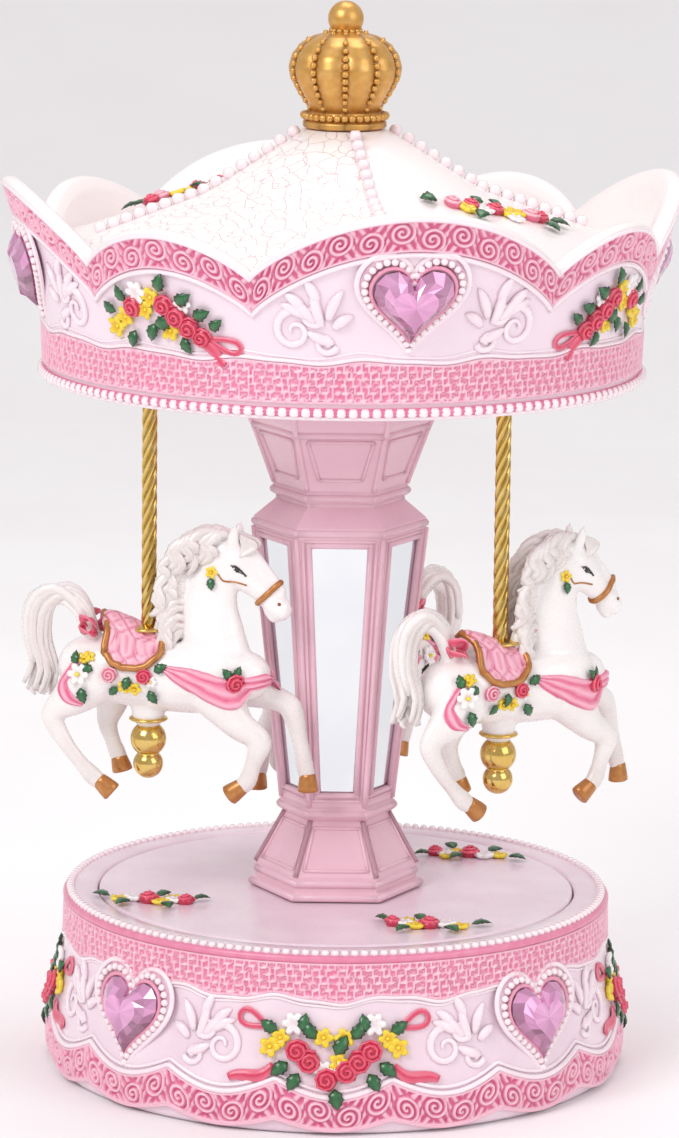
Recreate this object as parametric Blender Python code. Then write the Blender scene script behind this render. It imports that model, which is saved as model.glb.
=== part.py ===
"""Wind-up music box: a three-horse carousel that turns on a round base, with the movement and key inside the base.

Sizes are in millimetres and angles in degrees, and build() turns them into metres. +Z is up, the origin is the
middle of the foot, and the front is -Y. A "bearing" angle runs from the front, positive towards +X.
"""

import bmesh
import bpy
import numpy as np
from mathutils import Matrix

MM = 0.001

# Clearances
FIT = 0.3  # between two pieces that touch
RUN = 0.4  # between two pieces that move past each other

SMOOTH = 44  # sides of a large turned piece

# Base
BASE_HEIGHT = 46.0
TABLE_MARGIN = 8.8  # from the turntable's edge out to the base's own top edge
BAND_FLARE = 5.5  # how far the scroll band, the widest part of the base, stands out from the top edge
FOOT_FLARE = 3.9
BASE_WALL = 5.0
DECK = 3.0  # thickness of the base's top deck
COVER_Z = 12.5  # underside of the bottom cover, above the rest face
COVER_THICK = 2.5
COVER_LIP = 3.5  # width of the ledge that the cover meets
GEM_COUNT = 4
BASE_GEM_BEARING = 45.0
BASE_GEM_Z = 23.7
BASE_GEM_TILT = 14.0  # the base gems face up by this much

# Turntable and column
TABLE_R = 62.8
TABLE_THICK = 3.1
HUB_R = 3.7
COLUMN_TOP_R = 22.6
COLUMN_WAIST_R = 14.6
COLUMN_FOOT_R = 22.6
COLUMN_BORE_R = 3.2
SHOULDER_Z = 96.7  # heights of the column's breaks, above the turntable
NECK_Z = 105.5
WAIST_Z = 24.0
MIRROR_THICK = 0.6
MIRROR_POCKET = 1.25
MIRROR_TOP_W = 14.4
MIRROR_LOW_W = 8.4
MIRROR_LOW_Z = 28.0
MIRROR_TOP_Z = 94.0
ROD_R = 1.5

# Canopy
CANOPY_Z = 183.0
CANOPY_LOW_R = 77.3
CANOPY_RIM_R = 88.5
CANOPY_WALL = 5.0
LARGE_PEAK = 52.6  # rim heights above the canopy's bottom edge
SMALL_PEAK = 46.0
VALLEY = 36.5
LARGE_BEARING = 12.0  # bearing of the first large scallop
LARGE_HALF = 28.0  # half its angular width
ROOF_TOP = 64.5
ROOF_EDGE = 34.0
ROOF_THICK = 3.0
CEILING_THICK = 2.5
CANOPY_GEM_Z = 29.3
CANOPY_GEM_TILT = -16.0  # the canopy gems face down by this much

# Gems
GEM_W = 20.2
GEM_H = 19.3
GEM_DEPTH = 5.0
GEM_OFF = 1.0  # gap between the wall's middle and the gem's flat back

# Crown
CROWN_BASE_R = 10.9
CROWN_BULB_R = 14.7
CROWN_HEIGHT = 32.2
CROWN_BALL_R = 4.6

# Horses and poles
HORSE_COUNT = 3
POLE_R = 2.0
POLE_CIRCLE_R = 53.0
FIRST_POLE_BEARING = -68.5
SEAT_Z = 118.7  # underside of the saddle washer
HORSE_DROPS = (0.0, 0.0, 10.0)  # how far each horse hangs below the first
HORSE_HEADINGS = (-12.0, 33.0, 220.0)  # direction of each nose, from +X towards +Y
BELLY_DEPTH = 24.0  # from the saddle washer's underside down to the belly washer's
TRUNK_DEPTH = 21.2  # from the saddle washer's underside down to the horse's own belly line
WASHER_R = 5.1
WASHER_THICK = 1.0
UPPER_BALL_R = 4.7
LOWER_BALL_R = 3.9
BALL_PITCH = 6.6
HORSE_VOXEL = 1.15
HORSE_KEEP = 0.055  # share of the faces that the horse keeps after thinning

# Movement
BED_Z = 17.0
BED_THICK = 2.3
BED_LEFT = -21.0
BED_RIGHT = 60.0
BED_HALF_Y = 24.5
BARREL_R = 12.5
BARREL_Z = 20.3
BARREL_HEIGHT = 7.2
BARREL_WALL = 1.0
SPRING_TURNS = 2.5
SPRING_STRIP = 0.5  # thickness of the spring's strip
SPRING_STEPS = 32
CROWN_TEETH = 32
PINION_TEETH = 8
WHEEL_TEETH = 24
GOVERNOR_TEETH = 8
WORM_TEETH = 16
WORM_STARTS = 2
CROWN_GEAR_R = 14.5  # pitch radius, which sets the size of the cylinder's pinion too
CROWN_GEAR_W = 3.4
CROWN_TOOTH = 1.6
WHEEL_MODULE = 0.65
WORM_MODULE = 0.625
CYLINDER_R = 6.5
CYLINDER_LENGTH = 24.0
PIVOT_R = 1.0
COMB_TINES = 12
KEY_SPAN = 26.0
KEY_HEIGHT = 6.4
KEY_THICK = 2.2
KEY_HUB_R = 3.2  # where the wings meet the hub
ARBOR_R = 2.0
SCREW_R = 1.0
SCREW_HEAD_R = 1.6
BOSS_R = 3.2  # the cover's pillars under the bedplate

BASE_TOP_R = TABLE_R + TABLE_MARGIN
BAND_R = BASE_TOP_R + BAND_FLARE
FOOT_R = BASE_TOP_R + FOOT_FLARE
DECK_TOP = BASE_HEIGHT - TABLE_THICK - RUN
DECK_LOW = DECK_TOP - DECK
COLUMN_Z = BASE_HEIGHT + FIT
CEILING_Z = CANOPY_Z + 2.3
LEDGE_Z = COVER_Z + COVER_THICK + FIT
INNER_R = BASE_TOP_R - BASE_WALL
COVER_R = INNER_R + COVER_LIP
PINION_R = CROWN_GEAR_R * PINION_TEETH / CROWN_TEETH
CROWN_GEAR_Z = BARREL_Z + 2.9
CROWN_ROOT_Z = CROWN_GEAR_Z + 2.1
AXLE_Z = CROWN_ROOT_Z + 0.35 + PINION_R + 0.62
CYLINDER_X = CROWN_GEAR_R + CROWN_GEAR_W / 2 + 4.0
WHEEL_X = CYLINDER_X + CYLINDER_LENGTH + 1.2
WHEEL_R = WHEEL_MODULE * WHEEL_TEETH / 2
GOVERNOR_R = WHEEL_MODULE * GOVERNOR_TEETH / 2
GOVERNOR_Y = -(WHEEL_R + GOVERNOR_R + 0.25)
WORM_WHEEL_R = WORM_MODULE * WORM_TEETH / 2
WORM_Y = GOVERNOR_Y - WORM_WHEEL_R - 2.5
OUTER_BEARING_X = WHEEL_X + 3.5
WORM_X = OUTER_BEARING_X + 4.5
SCREW_BEARINGS = (30.0, 150.0, 270.0)
MOVEMENT_SCREWS = ((-17.0, 0.0), (30.0, -18.5), (17.0, 20.5))

PEARL = ("pearl_resin", (0.86, 0.68, 0.75), 0.35, 0.0)
DUSTY = ("dusty_resin", (0.77, 0.48, 0.57), 0.4, 0.0)
GOLD = ("gold_paint", (0.58, 0.30, 0.07), 0.35, 1.0)
BRASS = ("brass", (0.65, 0.45, 0.15), 0.22, 1.0)
STEEL = ("steel", (0.55, 0.56, 0.58), 0.3, 1.0)
SILVER = ("mirror_glass", (0.85, 0.87, 0.9), 0.04, 1.0)
GEM = ("acrylic_gem", (0.9, 0.35, 0.6), 0.05, 0.0)
WHITE = ("white_resin", (0.88, 0.85, 0.82), 0.35, 0.0)
FELT = ("cover_board", (0.35, 0.22, 0.26), 0.9, 0.0)
ZINC = ("zinc", (0.5, 0.5, 0.52), 0.45, 1.0)


# Helpers
def clearScene():
    for item in list(bpy.data.objects):
        bpy.data.objects.remove(item, do_unlink=True)


def material(look):
    name, colour, roughness, metallic = look
    found = bpy.data.materials.get(name)
    if found:
        return found
    made = bpy.data.materials.new(name)
    made.use_nodes = True
    shader = made.node_tree.nodes["Principled BSDF"]
    shader.inputs["Base Color"].default_value = (*colour, 1.0)
    shader.inputs["Roughness"].default_value = roughness
    shader.inputs["Metallic"].default_value = metallic
    return made


def empty(name, place, heading=0.0, parent=None):
    """An empty on a joint's axis, turned about +Z by heading."""
    made = bpy.data.objects.new(name, None)
    bpy.context.collection.objects.link(made)
    made.parent = parent
    made.location = [value * MM for value in place]
    made.rotation_euler = (0.0, 0.0, np.radians(heading))
    return made


def finish(name, bm, look, parent=None, place=(0.0, 0.0, 0.0), matrix=None):
    """Turns millimetres into metres, faces the normals outwards and adds the object to the scene."""
    if matrix is not None:
        bmesh.ops.transform(bm, matrix=matrix, verts=bm.verts)
    bmesh.ops.remove_doubles(bm, verts=bm.verts, dist=1e-4)
    bmesh.ops.scale(bm, vec=(MM, MM, MM), verts=bm.verts)
    bmesh.ops.recalc_face_normals(bm, faces=bm.faces)
    mesh = bpy.data.meshes.new(name)
    bm.to_mesh(mesh)
    bm.free()
    mesh.shade_smooth()
    mesh.set_sharp_from_angle(angle=np.radians(35))
    mesh.materials.append(material(look))
    made = bpy.data.objects.new(name, mesh)
    bpy.context.collection.objects.link(made)
    made.parent = parent
    made.location = [value * MM for value in place]
    return made


def loft(loops, ring=False):
    """A mesh through loops of equally many points. ring joins the last loop to the first, and otherwise both ends close."""
    bm = bmesh.new()
    rows = [[bm.verts.new(point) for point in loop] for loop in loops]
    count = len(rows[0])
    pairs = list(zip(rows, rows[1:]))
    if ring:
        pairs.append((rows[-1], rows[0]))
    for low, high in pairs:
        for i in range(count):
            j = (i + 1) % count
            bm.faces.new((low[i], low[j], high[j], high[i]))
    if not ring:
        bm.faces.new(rows[0][::-1])
        bm.faces.new(rows[-1])
    return bm


def circle(radius, z, count, start=0.0):
    turn = np.radians(start) + np.arange(count) * 2 * np.pi / count
    return [(radius * np.cos(t), radius * np.sin(t), z) for t in turn]


def turned(profile, count, start=0.0):
    """A turned piece. A profile that starts and ends on the axis is solid, and any other is a ring around its bore."""
    bm = bmesh.new()
    points = [bm.verts.new((radius, 0.0, z)) for radius, z in profile]
    edges = [bm.edges.new(pair) for pair in zip(points, points[1:])]
    if profile[0][0] > 0:
        edges.append(bm.edges.new((points[-1], points[0])))
    bmesh.ops.spin(bm, geom=points + edges, cent=(0, 0, 0), axis=(0, 0, 1), angle=2 * np.pi, steps=count,
                   use_merge=True)
    bmesh.ops.remove_doubles(bm, verts=bm.verts, dist=1e-4)
    bmesh.ops.dissolve_degenerate(bm, edges=bm.edges, dist=1e-5)
    if start:
        bmesh.ops.rotate(bm, cent=(0, 0, 0), matrix=Matrix.Rotation(np.radians(start), 3, "Z"), verts=bm.verts)
    return bm


def cylinderAt(x, y, radius, low, high, count=10):
    loops = [[(px + x, py + y, z) for px, py, _ in circle(radius, 0.0, count)] for z in (low, high)]
    return loft(loops)


def cut(piece, cutters, operation="DIFFERENCE"):
    """Applies one EXACT Boolean for each cutter, in the piece's own parent space."""
    for number, bm in enumerate(cutters, len(piece.modifiers)):
        tool = finish(f"{piece.name}_tool_{number}", bm, ZINC, piece.parent)
        tool.hide_render = True
        tool.display_type = "WIRE"
        modifier = piece.modifiers.new(f"tool_{number}", "BOOLEAN")
        modifier.operation = operation
        modifier.object = tool


def onAxis(x, y, z, direction):
    """Turns +Z to the direction and moves the origin to the point."""
    turn = {"X": Matrix.Rotation(np.pi / 2, 4, "Y"), "Z": Matrix.Identity(4)}[direction]
    return Matrix.Translation((x, y, z)) @ turn


def bearingPoint(radius, bearing):
    angle = np.radians(bearing)
    return radius * np.sin(angle), -radius * np.cos(angle)


def toothed(teeth, root, tip, start=0.0, land=0.5):
    """Radii and angles of a gear's outline, four points a tooth: two at the tip and two at the root."""
    pitch = 2 * np.pi / teeth
    offsets = np.array([-0.5 * land * 0.7, 0.5 * land * 0.7, 0.5 - 0.5 * (1 - land) * 0.9, 0.5 + 0.5 * (1 - land) * 0.9])
    radii = np.tile([tip, tip, root, root], teeth)
    angles = (np.arange(teeth)[:, None] + offsets[None, :]).ravel() * pitch + start
    return radii, angles


def gear(teeth, root, tip, low, high, bore, start=0.0):
    """A spur gear with a round bore, along Z."""
    radii, angles = toothed(teeth, root, tip, start)

    def around(radius, z):
        return [(r * np.cos(a), r * np.sin(a), z) for r, a in zip(np.broadcast_to(radius, angles.shape), angles)]

    return loft([around(radii, low), around(radii, high), around(bore, high), around(bore, low)], ring=True)


# Base
def baseShell():
    foot = COVER_R + FIT
    outer = [(foot, 0.0), (FOOT_R - 1.0, 0.0), (FOOT_R, 1.0), (FOOT_R, 3.5), (BAND_R, 5.0), (BAND_R, 12.0)]
    outer += [(BASE_TOP_R + 3.6, 18.0), (BASE_TOP_R + 1.6, 26.0), (BASE_TOP_R + 0.2, 34.0)]
    top = [(BASE_TOP_R, BASE_HEIGHT - 1.0), (BASE_TOP_R - 1.0, BASE_HEIGHT), (TABLE_R + RUN, BASE_HEIGHT)]
    deck = [(TABLE_R + RUN, DECK_TOP), (HUB_R + 2.5, DECK_TOP), (HUB_R + 2.5, DECK_LOW), (INNER_R, DECK_LOW)]
    inner = [(INNER_R, LEDGE_Z), (foot, LEDGE_Z)]
    shell = finish("base_shell", turned(outer + top + deck + inner, SMOOTH), PEARL)
    holes = []
    for bearing in SCREW_BEARINGS:
        x, y = bearingPoint(INNER_R + COVER_LIP / 2, bearing)
        holes.append(cylinderAt(x, y, SCREW_R + FIT, LEDGE_Z - 1.0, LEDGE_Z + 7.0, 8))
    cut(shell, holes)


def bottomCover():
    low, high = COVER_Z, COVER_Z + COVER_THICK
    profile = [(COVER_R, high), (COVER_R, low), (ARBOR_R + 1.5, low), (ARBOR_R + 1.5, high)]
    cover = finish("bottom_cover", turned(profile, SMOOTH), FELT)
    cut(cover, [cylinderAt(x, y, BOSS_R, high - 1.0, BED_Z - FIT, 12) for x, y in MOVEMENT_SCREWS], "UNION")
    holes = [cylinderAt(x, y, SCREW_R + FIT, low - 1.0, BED_Z + 1.0, 8) for x, y in MOVEMENT_SCREWS]
    for bearing in SCREW_BEARINGS:
        x, y = bearingPoint(INNER_R + COVER_LIP / 2, bearing)
        holes.append(cylinderAt(x, y, SCREW_R + FIT, low - 1.0, high + 1.0, 8))
    cut(cover, holes)


def screw(name, x, y, seat, tip, look=STEEL, down=False, head=1.2):
    """A flat-headed screw whose head's bearing face is at seat and whose shank ends at tip."""
    side = 1.0 if down else -1.0
    face = seat + side * FIT
    profile = [(0.0, tip), (SCREW_R, tip), (SCREW_R, face), (SCREW_HEAD_R, face), (SCREW_HEAD_R, face + side * head)]
    profile.append((0.0, face + side * head))
    return finish(name, turned(profile, 10), look, matrix=Matrix.Translation((x, y, 0.0)))


def screws():
    for number, bearing in enumerate(SCREW_BEARINGS, 1):
        x, y = bearingPoint(INNER_R + COVER_LIP / 2, bearing)
        screw(f"cover_screw_{number}", x, y, COVER_Z, LEDGE_Z + 6.0, head=1.0)
    for number, (x, y) in enumerate(MOVEMENT_SCREWS, 1):
        screw(f"movement_screw_{number}", x, y, COVER_Z, BED_Z + BED_THICK)


def heartOutline(width, height, count=16):
    """A heart: x = 16 sin^3 t and y = 13 cos t - 5 cos 2t - 2 cos 3t - cos 4t, scaled to its width and height."""
    t = np.arange(count) * 2 * np.pi / count
    x = 16 * np.sin(t) ** 3
    y = 13 * np.cos(t) - 5 * np.cos(2 * t) - 2 * np.cos(3 * t) - np.cos(4 * t)
    return x * width / 32.0, (y + 2.5) * height / 28.9


def gemMatrix(radius, z, bearing, tilt):
    """Takes the gem's +Z to the wall's outward normal and its +Y up the wall."""
    x, y = bearingPoint(radius, bearing)
    upright = Matrix.Rotation(np.radians(90.0 - tilt), 4, "X")
    return Matrix.Translation((x, y, z)) @ Matrix.Rotation(np.radians(bearing), 4, "Z") @ upright


def gem(name, radius, z, bearing, tilt, parent=None):
    """A faceted heart stone with a flat back, a girdle, a bevelled crown and a flat table."""
    loops = []
    for share, height in ((0.93, 0.0), (1.0, 0.35), (0.86, 0.72), (0.5, 1.0)):
        x, y = heartOutline(GEM_W * share, GEM_H * share)
        loops.append([(px, py, GEM_DEPTH * height) for px, py in zip(x, y)])
    return finish(name, loft(loops), GEM, parent, matrix=gemMatrix(radius + GEM_OFF, z, bearing, tilt))


def baseWall(z):
    """The base's outer radius at a height on the flowered wall."""
    return float(np.interp(z, [12.0, 18.0, 26.0, 34.0], [BAND_R, BASE_TOP_R + 3.6, BASE_TOP_R + 1.6, BASE_TOP_R + 0.2]))


def baseGems():
    for number in range(GEM_COUNT):
        bearing = BASE_GEM_BEARING + 90.0 * number
        gem(f"base_gem_{number + 1}", baseWall(BASE_GEM_Z), BASE_GEM_Z, bearing, BASE_GEM_TILT)


# Turntable, column and mirrors
def turntable(parent):
    low = BASE_HEIGHT - TABLE_THICK
    profile = [(TABLE_R, BASE_HEIGHT), (TABLE_R, low), (HUB_R + FIT, low), (HUB_R + FIT, BASE_HEIGHT)]
    finish("turntable", turned(profile, SMOOTH), PEARL, parent)


def columnShape():
    """(corner radius, height above the turntable) up the column's outer edge."""
    foot = [(COLUMN_FOOT_R, 0.0), (COLUMN_FOOT_R, 2.0), (COLUMN_FOOT_R - 1.3, 2.4), (COLUMN_FOOT_R - 1.3, 6.3)]
    waist = [(COLUMN_WAIST_R - 0.8, WAIST_Z - 4.1), (COLUMN_WAIST_R + 0.8, WAIST_Z - 3.0)]
    waist += [(COLUMN_WAIST_R + 0.8, WAIST_Z - 0.8), (COLUMN_WAIST_R, WAIST_Z)]
    shoulder = [(COLUMN_TOP_R, SHOULDER_Z), (COLUMN_TOP_R, SHOULDER_Z + 2.7), (16.3, NECK_Z - 0.8)]
    ring = [(17.8, NECK_Z), (17.8, NECK_Z + 2.2), (17.4, NECK_Z + 3.0), (22.9, NECK_Z + 18.0), (24.0, NECK_Z + 20.5)]
    top = [(25.4, CEILING_Z - FIT - COLUMN_Z)]
    return foot + waist + shoulder + ring + top


def faceRadius(height):
    """Distance from the axis to the middle of a mirror face at a height above the turntable."""
    corner = np.interp(height, [WAIST_Z, SHOULDER_Z], [COLUMN_WAIST_R, COLUMN_TOP_R])
    return float(corner) * np.cos(np.radians(30.0))


def mirrorBlock(face, inset, thick, grow):
    """A tapered plate parallel to a mirror face, inset below it. grow widens it all round."""
    low, high = MIRROR_LOW_Z - grow, MIRROR_TOP_Z + grow
    slope = (faceRadius(high) - faceRadius(low)) / (high - low)
    tilt = np.arctan(slope)
    loops = []
    for depth in (inset + thick, inset):
        corners = []
        for height, width in ((low, MIRROR_LOW_W / 2 + grow), (high, MIRROR_TOP_W / 2 + grow)):
            out = faceRadius(height) - depth * np.cos(tilt)
            lift = COLUMN_Z + height + depth * np.sin(tilt)
            sides = (-width, width) if height == low else (width, -width)
            corners += [(out, side, lift) for side in sides]
        loops.append(corners)
    bm = loft(loops)
    bmesh.ops.rotate(bm, cent=(0, 0, 0), matrix=Matrix.Rotation(np.radians(30.0 + 60.0 * face), 3, "Z"), verts=bm.verts)
    return bm


def column(parent):
    outer = [circle(radius, COLUMN_Z + height, 6) for radius, height in columnShape()]
    bore = [circle(COLUMN_BORE_R, COLUMN_Z + columnShape()[end][1], 6) for end in (-1, 0)]
    made = finish("column", loft(outer + bore, ring=True), DUSTY, parent)
    cut(made, [mirrorBlock(face, -2.0, MIRROR_POCKET + 2.0, FIT) for face in range(6)])
    for face in range(6):
        block = mirrorBlock(face, MIRROR_POCKET - FIT - MIRROR_THICK, MIRROR_THICK, 0.0)
        finish(f"mirror_{face + 1}", block, SILVER, parent)


def tieRod(parent):
    low = BARREL_Z + BARREL_HEIGHT + 7.0
    high = CANOPY_Z + ROOF_TOP + 7.0
    finish("tie_rod", cylinderAt(0.0, 0.0, ROD_R, low, high, 12), STEEL, parent)


# Canopy
def scallopAngles():
    """(bearing, rim height) once round the canopy, each scallop an even arc from valley to valley."""
    found = []
    small_half = 45.0 - LARGE_HALF
    for quarter in range(4):
        middle = LARGE_BEARING + 90.0 * quarter
        for centre, half, peak, steps in ((middle, LARGE_HALF, LARGE_PEAK, 8), (middle + 45.0, small_half, SMALL_PEAK, 5)):
            for step in range(steps):
                along = 2.0 * step / steps - 1.0
                rise = np.cos(along * np.pi / 2) ** 0.8 if abs(along) < 1 else 0.0
                found.append((centre + along * half, VALLEY + (peak - VALLEY) * rise))
    return found


def wallRadius(height):
    """The canopy wall's outer radius at a height above its bottom edge."""
    low = CANOPY_LOW_R
    return float(np.interp(height, [0.0, 14.0, 20.0, 29.0, 39.0, LARGE_PEAK],
                           [low, low + 0.5, low + 1.3, low + 3.5, low + 6.5, CANOPY_RIM_R]))


def canopyShell(parent):
    places = scallopAngles()
    top = ROOF_TOP - ROOF_THICK

    def around(radii, heights):
        loop = []
        for (bearing, _), radius, height in zip(places, radii, heights):
            x, y = bearingPoint(radius, bearing)
            loop.append((x, y, CANOPY_Z + height))
        return loop

    def level(radius, height):
        return around([radius] * len(places), [height] * len(places))

    rims = [rim for _, rim in places]
    loops = [level(CANOPY_LOW_R, 0.0), level(wallRadius(14.0), 14.0), level(wallRadius(24.0), 24.0)]
    loops.append(around([wallRadius(rim - 3.0) for rim in rims], [rim - 3.0 for rim in rims]))
    loops.append(around([wallRadius(rim) - 0.4 for rim in rims], rims))
    loops.append(around([wallRadius(rim) - CANOPY_WALL + 0.8 for rim in rims], [rim - 0.6 for rim in rims]))
    seam = wallRadius(ROOF_EDGE) - CANOPY_WALL
    loops += [level(seam, ROOF_EDGE), level(60.0, ROOF_EDGE + 6.0), level(36.0, ROOF_EDGE + 14.5)]
    loops += [level(CROWN_BASE_R, ROOF_TOP), level(ROD_R + FIT, ROOF_TOP), level(ROD_R + FIT, top)]
    loops += [level(CROWN_BASE_R, top), level(36.0, ROOF_EDGE + 11.0), level(60.0, ROOF_EDGE + 2.5)]
    inner = CANOPY_LOW_R - CANOPY_WALL
    loops += [level(inner, ROOF_EDGE - 4.0), level(inner, 0.0)]
    finish("canopy_shell", loft(loops, ring=True), PEARL, parent)


def canopyCeiling(parent):
    radius = CANOPY_LOW_R - CANOPY_WALL - FIT
    high = CEILING_Z + CEILING_THICK
    profile = [(radius, high), (radius, CEILING_Z), (ROD_R + FIT, CEILING_Z), (ROD_R + FIT, high)]
    made = finish("canopy_ceiling", turned(profile, SMOOTH), PEARL, parent)
    holes = []
    for number in range(HORSE_COUNT):
        x, y = bearingPoint(POLE_CIRCLE_R, FIRST_POLE_BEARING + 120.0 * number)
        holes.append(cylinderAt(x, y, POLE_R + RUN, CEILING_Z - 1.0, high + 1.0, 12))
    cut(made, holes)


def canopyGems(parent):
    for number in range(GEM_COUNT):
        bearing = LARGE_BEARING + 90.0 * number
        radius = wallRadius(CANOPY_GEM_Z)
        gem(f"canopy_gem_{number + 1}", radius, CANOPY_Z + CANOPY_GEM_Z, bearing, CANOPY_GEM_TILT, parent)


def crown(parent):
    low = CANOPY_Z + ROOF_TOP + FIT
    ball = CROWN_HEIGHT - CROWN_BALL_R
    bulb = [(9.0, 6.8), (CROWN_BULB_R * 0.88, 10.0), (CROWN_BULB_R, 15.0), (CROWN_BULB_R * 0.93, 19.5)]
    bulb += [(CROWN_BULB_R * 0.6, 23.4), (2.6, 24.6)]
    knob = []
    for turn in (-0.6, 0.0, 0.6):
        knob.append((CROWN_BALL_R * np.cos(turn * 1.4), ball + CROWN_BALL_R * np.sin(turn * 1.4)))
    band = [(CROWN_BASE_R, 0.0), (CROWN_BASE_R, 1.2), (CROWN_BASE_R - 0.8, 1.6), (CROWN_BASE_R - 0.8, 5.6)]
    bore = [(0.0, 8.0), (ROD_R + FIT, 8.0), (ROD_R + FIT, 0.0)]
    profile = bore + band + bulb + knob + [(0.0, CROWN_HEIGHT)]
    finish("crown", turned([(radius, low + height) for radius, height in profile], 16), GOLD, parent)


# Horses
HORSE_LIMBS = {
    # each stretch is (forward of the pole, sideways, above the belly, radius), and its flatness sideways
    "trunk": (0.86, [(-14, 0, 10, 9.4), (-4, 0, 9.6, 9.6), (8, 0, 9.6, 10.2), (20, 0, 10, 9.8), (24, 0, 9.5, 7.6)]),
    "neck": (0.66, [(19, 0, 13, 9.0), (16.5, 0, 22, 8.4), (15.8, 0, 31, 7.2), (18.5, 0, 39, 5.6)]),
    "head": (0.68, [(21, 0, 41, 5.4), (25, 0, 38.8, 5.6), (29.5, 0, 34.5, 4.1), (33.8, 0, 29.8, 3.9)]),
    "ears": (1.0, [(22.8, 2.2, 45, 1.7), (23.4, 2.6, 49, 0.9)]),
    "ears_right": (1.0, [(22.8, -2.2, 45, 1.7), (23.4, -2.6, 49, 0.9)]),
    "mane": (0.8, [(18, 0, 46, 3.0), (12, 0, 43, 3.6), (8.5, 0, 37, 3.4), (8, 0, 30, 3.4), (8, 0, 22, 3.0)]),
    "dock": (0.9, [(-14, 0, 19, 3.0), (-18.5, 0, 26, 3.0), (-24, 0, 28.2, 3.2), (-28, 0, 24, 3.4)]),
    "tail": (0.9, [(-28, 0, 24, 3.4), (-28.5, 0, 16, 3.5), (-27, 0, 9, 4.0), (-28.5, 0, 4, 2.6)]),
    "near_hind": (0.8, [(-13, -3.5, 7, 7.6), (-19, -4.5, 1.5, 5.2), (-24.3, -4.5, -1.6, 3.3), (-21.5, -4.5, -8, 2.7),
                        (-16, -4.5, -15.4, 2.3), (-12, -4.5, -19.4, 2.7), (-10, -4.5, -20.8, 2.7)]),
    "far_hind": (0.8, [(-11, 3.5, 6, 7.0), (-11.5, 4.5, -1, 4.2), (-12, 4.5, -7.5, 2.7), (-9.5, 4.5, -12.5, 2.3),
                       (-9, 4.5, -15.8, 2.6)]),
    "near_fore": (0.8, [(19, -3.5, 5, 7.0), (26, -4.5, -2.5, 4.0), (30.4, -4.5, -6.3, 3.1), (28.8, -4.5, -12.5, 2.4),
                        (26.3, -4.5, -18.2, 2.3), (23.4, -4.5, -21, 2.7)]),
    "far_fore": (0.8, [(22, 3.5, 6, 6.4), (32, 4.5, 3.2, 3.6), (37, 4.5, 0.4, 3.0), (39.6, 4.5, -8, 2.4),
                       (41.5, 4.5, -16, 2.2), (41.8, 4.5, -20, 2.7)]),
    "saddle": (1.5, [(-10, 0, 22.5, 2.6), (-5, 0, 19.5, 3.6), (3, 0, 17.4, 3.6)]),
}


def limb(bm, flat, points, sides=10):
    """A round limb along its points, with a rounded end at each, as one closed tube."""
    path = np.array(points, float)
    places, radii = path[:, :3], path[:, 3]
    ways = np.gradient(places, axis=0)
    ways /= np.linalg.norm(ways, axis=1)[:, None]
    stations = [(places[0] - ways[0] * radii[0] * 0.85, ways[0], radii[0] * 0.5)]
    stations += [(place, way, radius) for place, way, radius in zip(places, ways, radii)]
    stations.append((places[-1] + ways[-1] * radii[-1] * 0.85, ways[-1], radii[-1] * 0.5))
    side = np.array([0.0, 1.0, 0.0])
    rows = []
    for place, way, radius in stations:
        up = np.cross(way, side)
        up /= np.linalg.norm(up)
        turn = np.arange(sides) * 2 * np.pi / sides
        ring = place + radius * (np.cos(turn)[:, None] * up + flat * np.sin(turn)[:, None] * side)
        rows.append([bm.verts.new(point) for point in ring])
    for low, high in zip(rows, rows[1:]):
        for i in range(sides):
            j = (i + 1) % sides
            bm.faces.new((low[i], low[j], high[j], high[i]))
    bm.faces.new(rows[0][::-1])
    bm.faces.new(rows[-1])


def horse(name, parent, seat):
    """The horse's limbs fused into one casting, thinned, bored for its pole and faced for its two washers."""
    belly = seat - TRUNK_DEPTH
    bm = bmesh.new()
    for flat, points in HORSE_LIMBS.values():
        limb(bm, flat, points)
    limb(bm, 1.0, [(0, 0, 3.0, 4.6), (0, 0, -0.6, 4.6)], 12)
    made = finish(name, bm, WHITE, parent, matrix=Matrix.Translation((0.0, 0.0, belly)))
    fuse = made.modifiers.new("fuse", "REMESH")
    fuse.mode = "VOXEL"
    fuse.voxel_size = HORSE_VOXEL * MM
    thin = made.modifiers.new("thin", "DECIMATE")
    thin.ratio = HORSE_KEEP
    low = seat - BELLY_DEPTH + WASHER_THICK + FIT
    bore = cylinderAt(0.0, 0.0, POLE_R + FIT, low - 20.0, seat + 40.0, 12)
    under = cylinderAt(0.0, 0.0, WASHER_R + 1.5, low - 22.0, low, 12)
    over = cylinderAt(0.0, 0.0, WASHER_R + 0.6, seat - FIT, seat + 40.0, 12)
    cut(made, [bore, under, over])
    return made


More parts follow.
